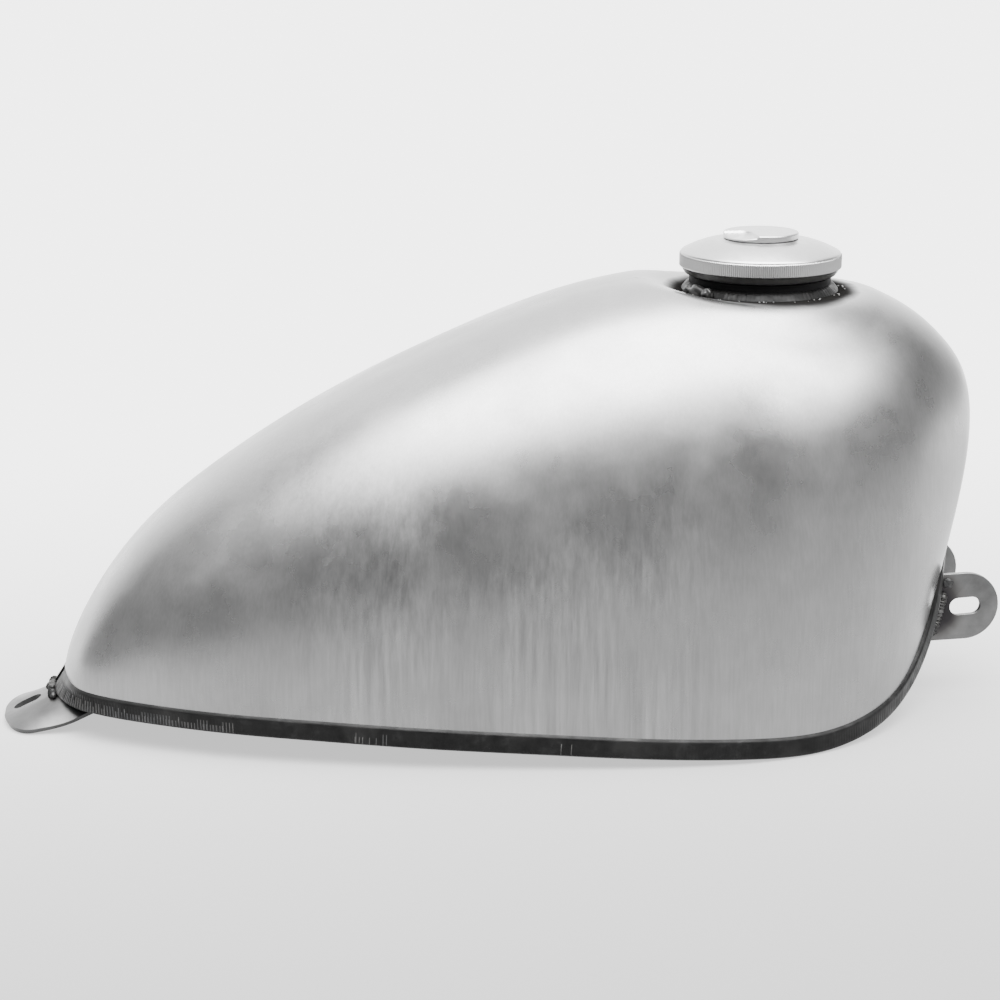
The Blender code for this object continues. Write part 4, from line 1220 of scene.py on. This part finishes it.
# ---- the studio
def build_floor():
    """A plain pale floor, paler into the distance."""
    bpy.ops.mesh.primitive_circle_add(vertices=96, radius=14, fill_type="NGON", location=(0, 0, -0.0002))
    floor = bpy.context.object
    floor.name = "studio_floor"
    look = Look("pale_floor", metallic=0.0, roughness=0.9, Specular_IOR_Level=0.0)
    depth = look.node("ShaderNodeMapRange", interpolation_type="SMOOTHSTEP")
    look.feed(depth.inputs["Value"], look.coordinate(1))
    near_y, far_y = -0.45, 0.6
    depth.inputs["From Min"].default_value = near_y
    depth.inputs["From Max"].default_value = far_y
    # Painted light: the floor's tone, darker near the camera and paler far off, is a painted fall-off of light.
    look.colour(look.blend(depth.outputs[0], 0.09, 0.40))
    # The floor's glow is painted light that lifts the soft shadows under the tank.
    look.shader.inputs["Emission Color"].default_value = (1, 1, 1, 1)
    look.shader.inputs["Emission Strength"].default_value = 0.85
    floor.data.materials.append(look.material)


def build_sky():
    """An overhead soft box and a smaller one at the front right, over a dim surround."""
    sky = bpy.data.worlds.new("studio_sky")
    bpy.context.scene.world = sky
    sky.use_nodes = True
    tree = sky.node_tree

    def node(kind, **settings):
        made = tree.nodes.new(kind)
        for key, value in settings.items():
            setattr(made, key, value)
        return made

    place = node("ShaderNodeTexCoord").outputs["Generated"]
    split = node("ShaderNodeSeparateXYZ")
    ramp = node("ShaderNodeValToRGB")
    ramp.color_ramp.interpolation = "EASE"
    tree.links.new(place, split.inputs[0])
    tree.links.new(split.outputs[2], ramp.inputs["Fac"])
    stops = ((0.0, 0.34), (0.12, 0.22), (0.5, 0.16), (0.72, 0.5), (0.9, 1.0))
    elements = ramp.color_ramp.elements
    while len(elements) < len(stops):
        elements.new(0.5)
    for element, (position, tone) in zip(elements, stops):
        element.position = position
        element.color = (tone, tone, tone, 1)
    total = node("ShaderNodeMath", operation="MULTIPLY")
    tree.links.new(ramp.outputs["Color"], total.inputs[0])
    surround_power = 3.2
    total.inputs[1].default_value = surround_power
    total = total.outputs[0]
    glows = (("overhead", -8, 80, 20, 39, 24), ("front right", 54, 43, 3, 19, 22),
             ("backdrop", 180, 18, 20, 65, 4))
    for name, azimuth, elevation, inner, outer, power in glows:
        turn, rise = radians(azimuth), radians(elevation)
        dot = node("ShaderNodeVectorMath", operation="DOT_PRODUCT")
        tree.links.new(place, dot.inputs[0])
        dot.inputs[1].default_value = (sin(turn) * cos(rise), -cos(turn) * cos(rise), sin(rise))
        edge = node("ShaderNodeMapRange", interpolation_type="SMOOTHSTEP", label=name)
        tree.links.new(dot.outputs["Value"], edge.inputs["Value"])
        edge.inputs["From Min"].default_value = cos(radians(outer))
        edge.inputs["From Max"].default_value = cos(radians(inner))
        edge.inputs["To Max"].default_value = power
        both = node("ShaderNodeMath", operation="ADD")
        tree.links.new(edge.outputs[0], both.inputs[0])
        tree.links.new(total, both.inputs[1])
        total = both.outputs[0]
    back = tree.nodes["Background"]
    back.inputs["Color"].default_value = (1, 1, 1, 1)
    tree.links.new(total, back.inputs["Strength"])


def build_camera():
    azimuth, elevation, distance = radians(-8), radians(15), 1.2
    target = Vector((0, 0, 0.102))
    forward = Vector((-sin(azimuth) * cos(elevation), cos(azimuth) * cos(elevation), -sin(elevation)))
    sensor_mm, focal_mm = 36, 86.4
    lens = bpy.data.cameras.new("camera")
    lens.sensor_width = sensor_mm
    lens.lens = focal_mm
    camera = bpy.data.objects.new("camera", lens)
    camera.location = target - forward * distance
    camera.rotation_euler = forward.to_track_quat("-Z", "Y").to_euler()
    bpy.context.scene.collection.objects.link(camera)
    bpy.context.scene.camera = camera


build_camera()
skin_grid = build_skins()
build_lips()
build_top_seam("top_seam_weld_rear", 0.012, find_share(0, NECK.x - NECK_R - 1, 0.72), 400)
build_top_seam("top_seam_weld_front", find_share(0, NECK.x + NECK_R + 1, 0.72), 0.985, 120)
build_tunnel()
build_pans()
build_neck(skin_grid)
build_front_tab("right", -1)
build_front_tab("left", 1)
build_rear_tab()
build_bung()
build_cap()
build_cover()
build_plug()
finish_carried_nodes()
build_floor()
build_sky()
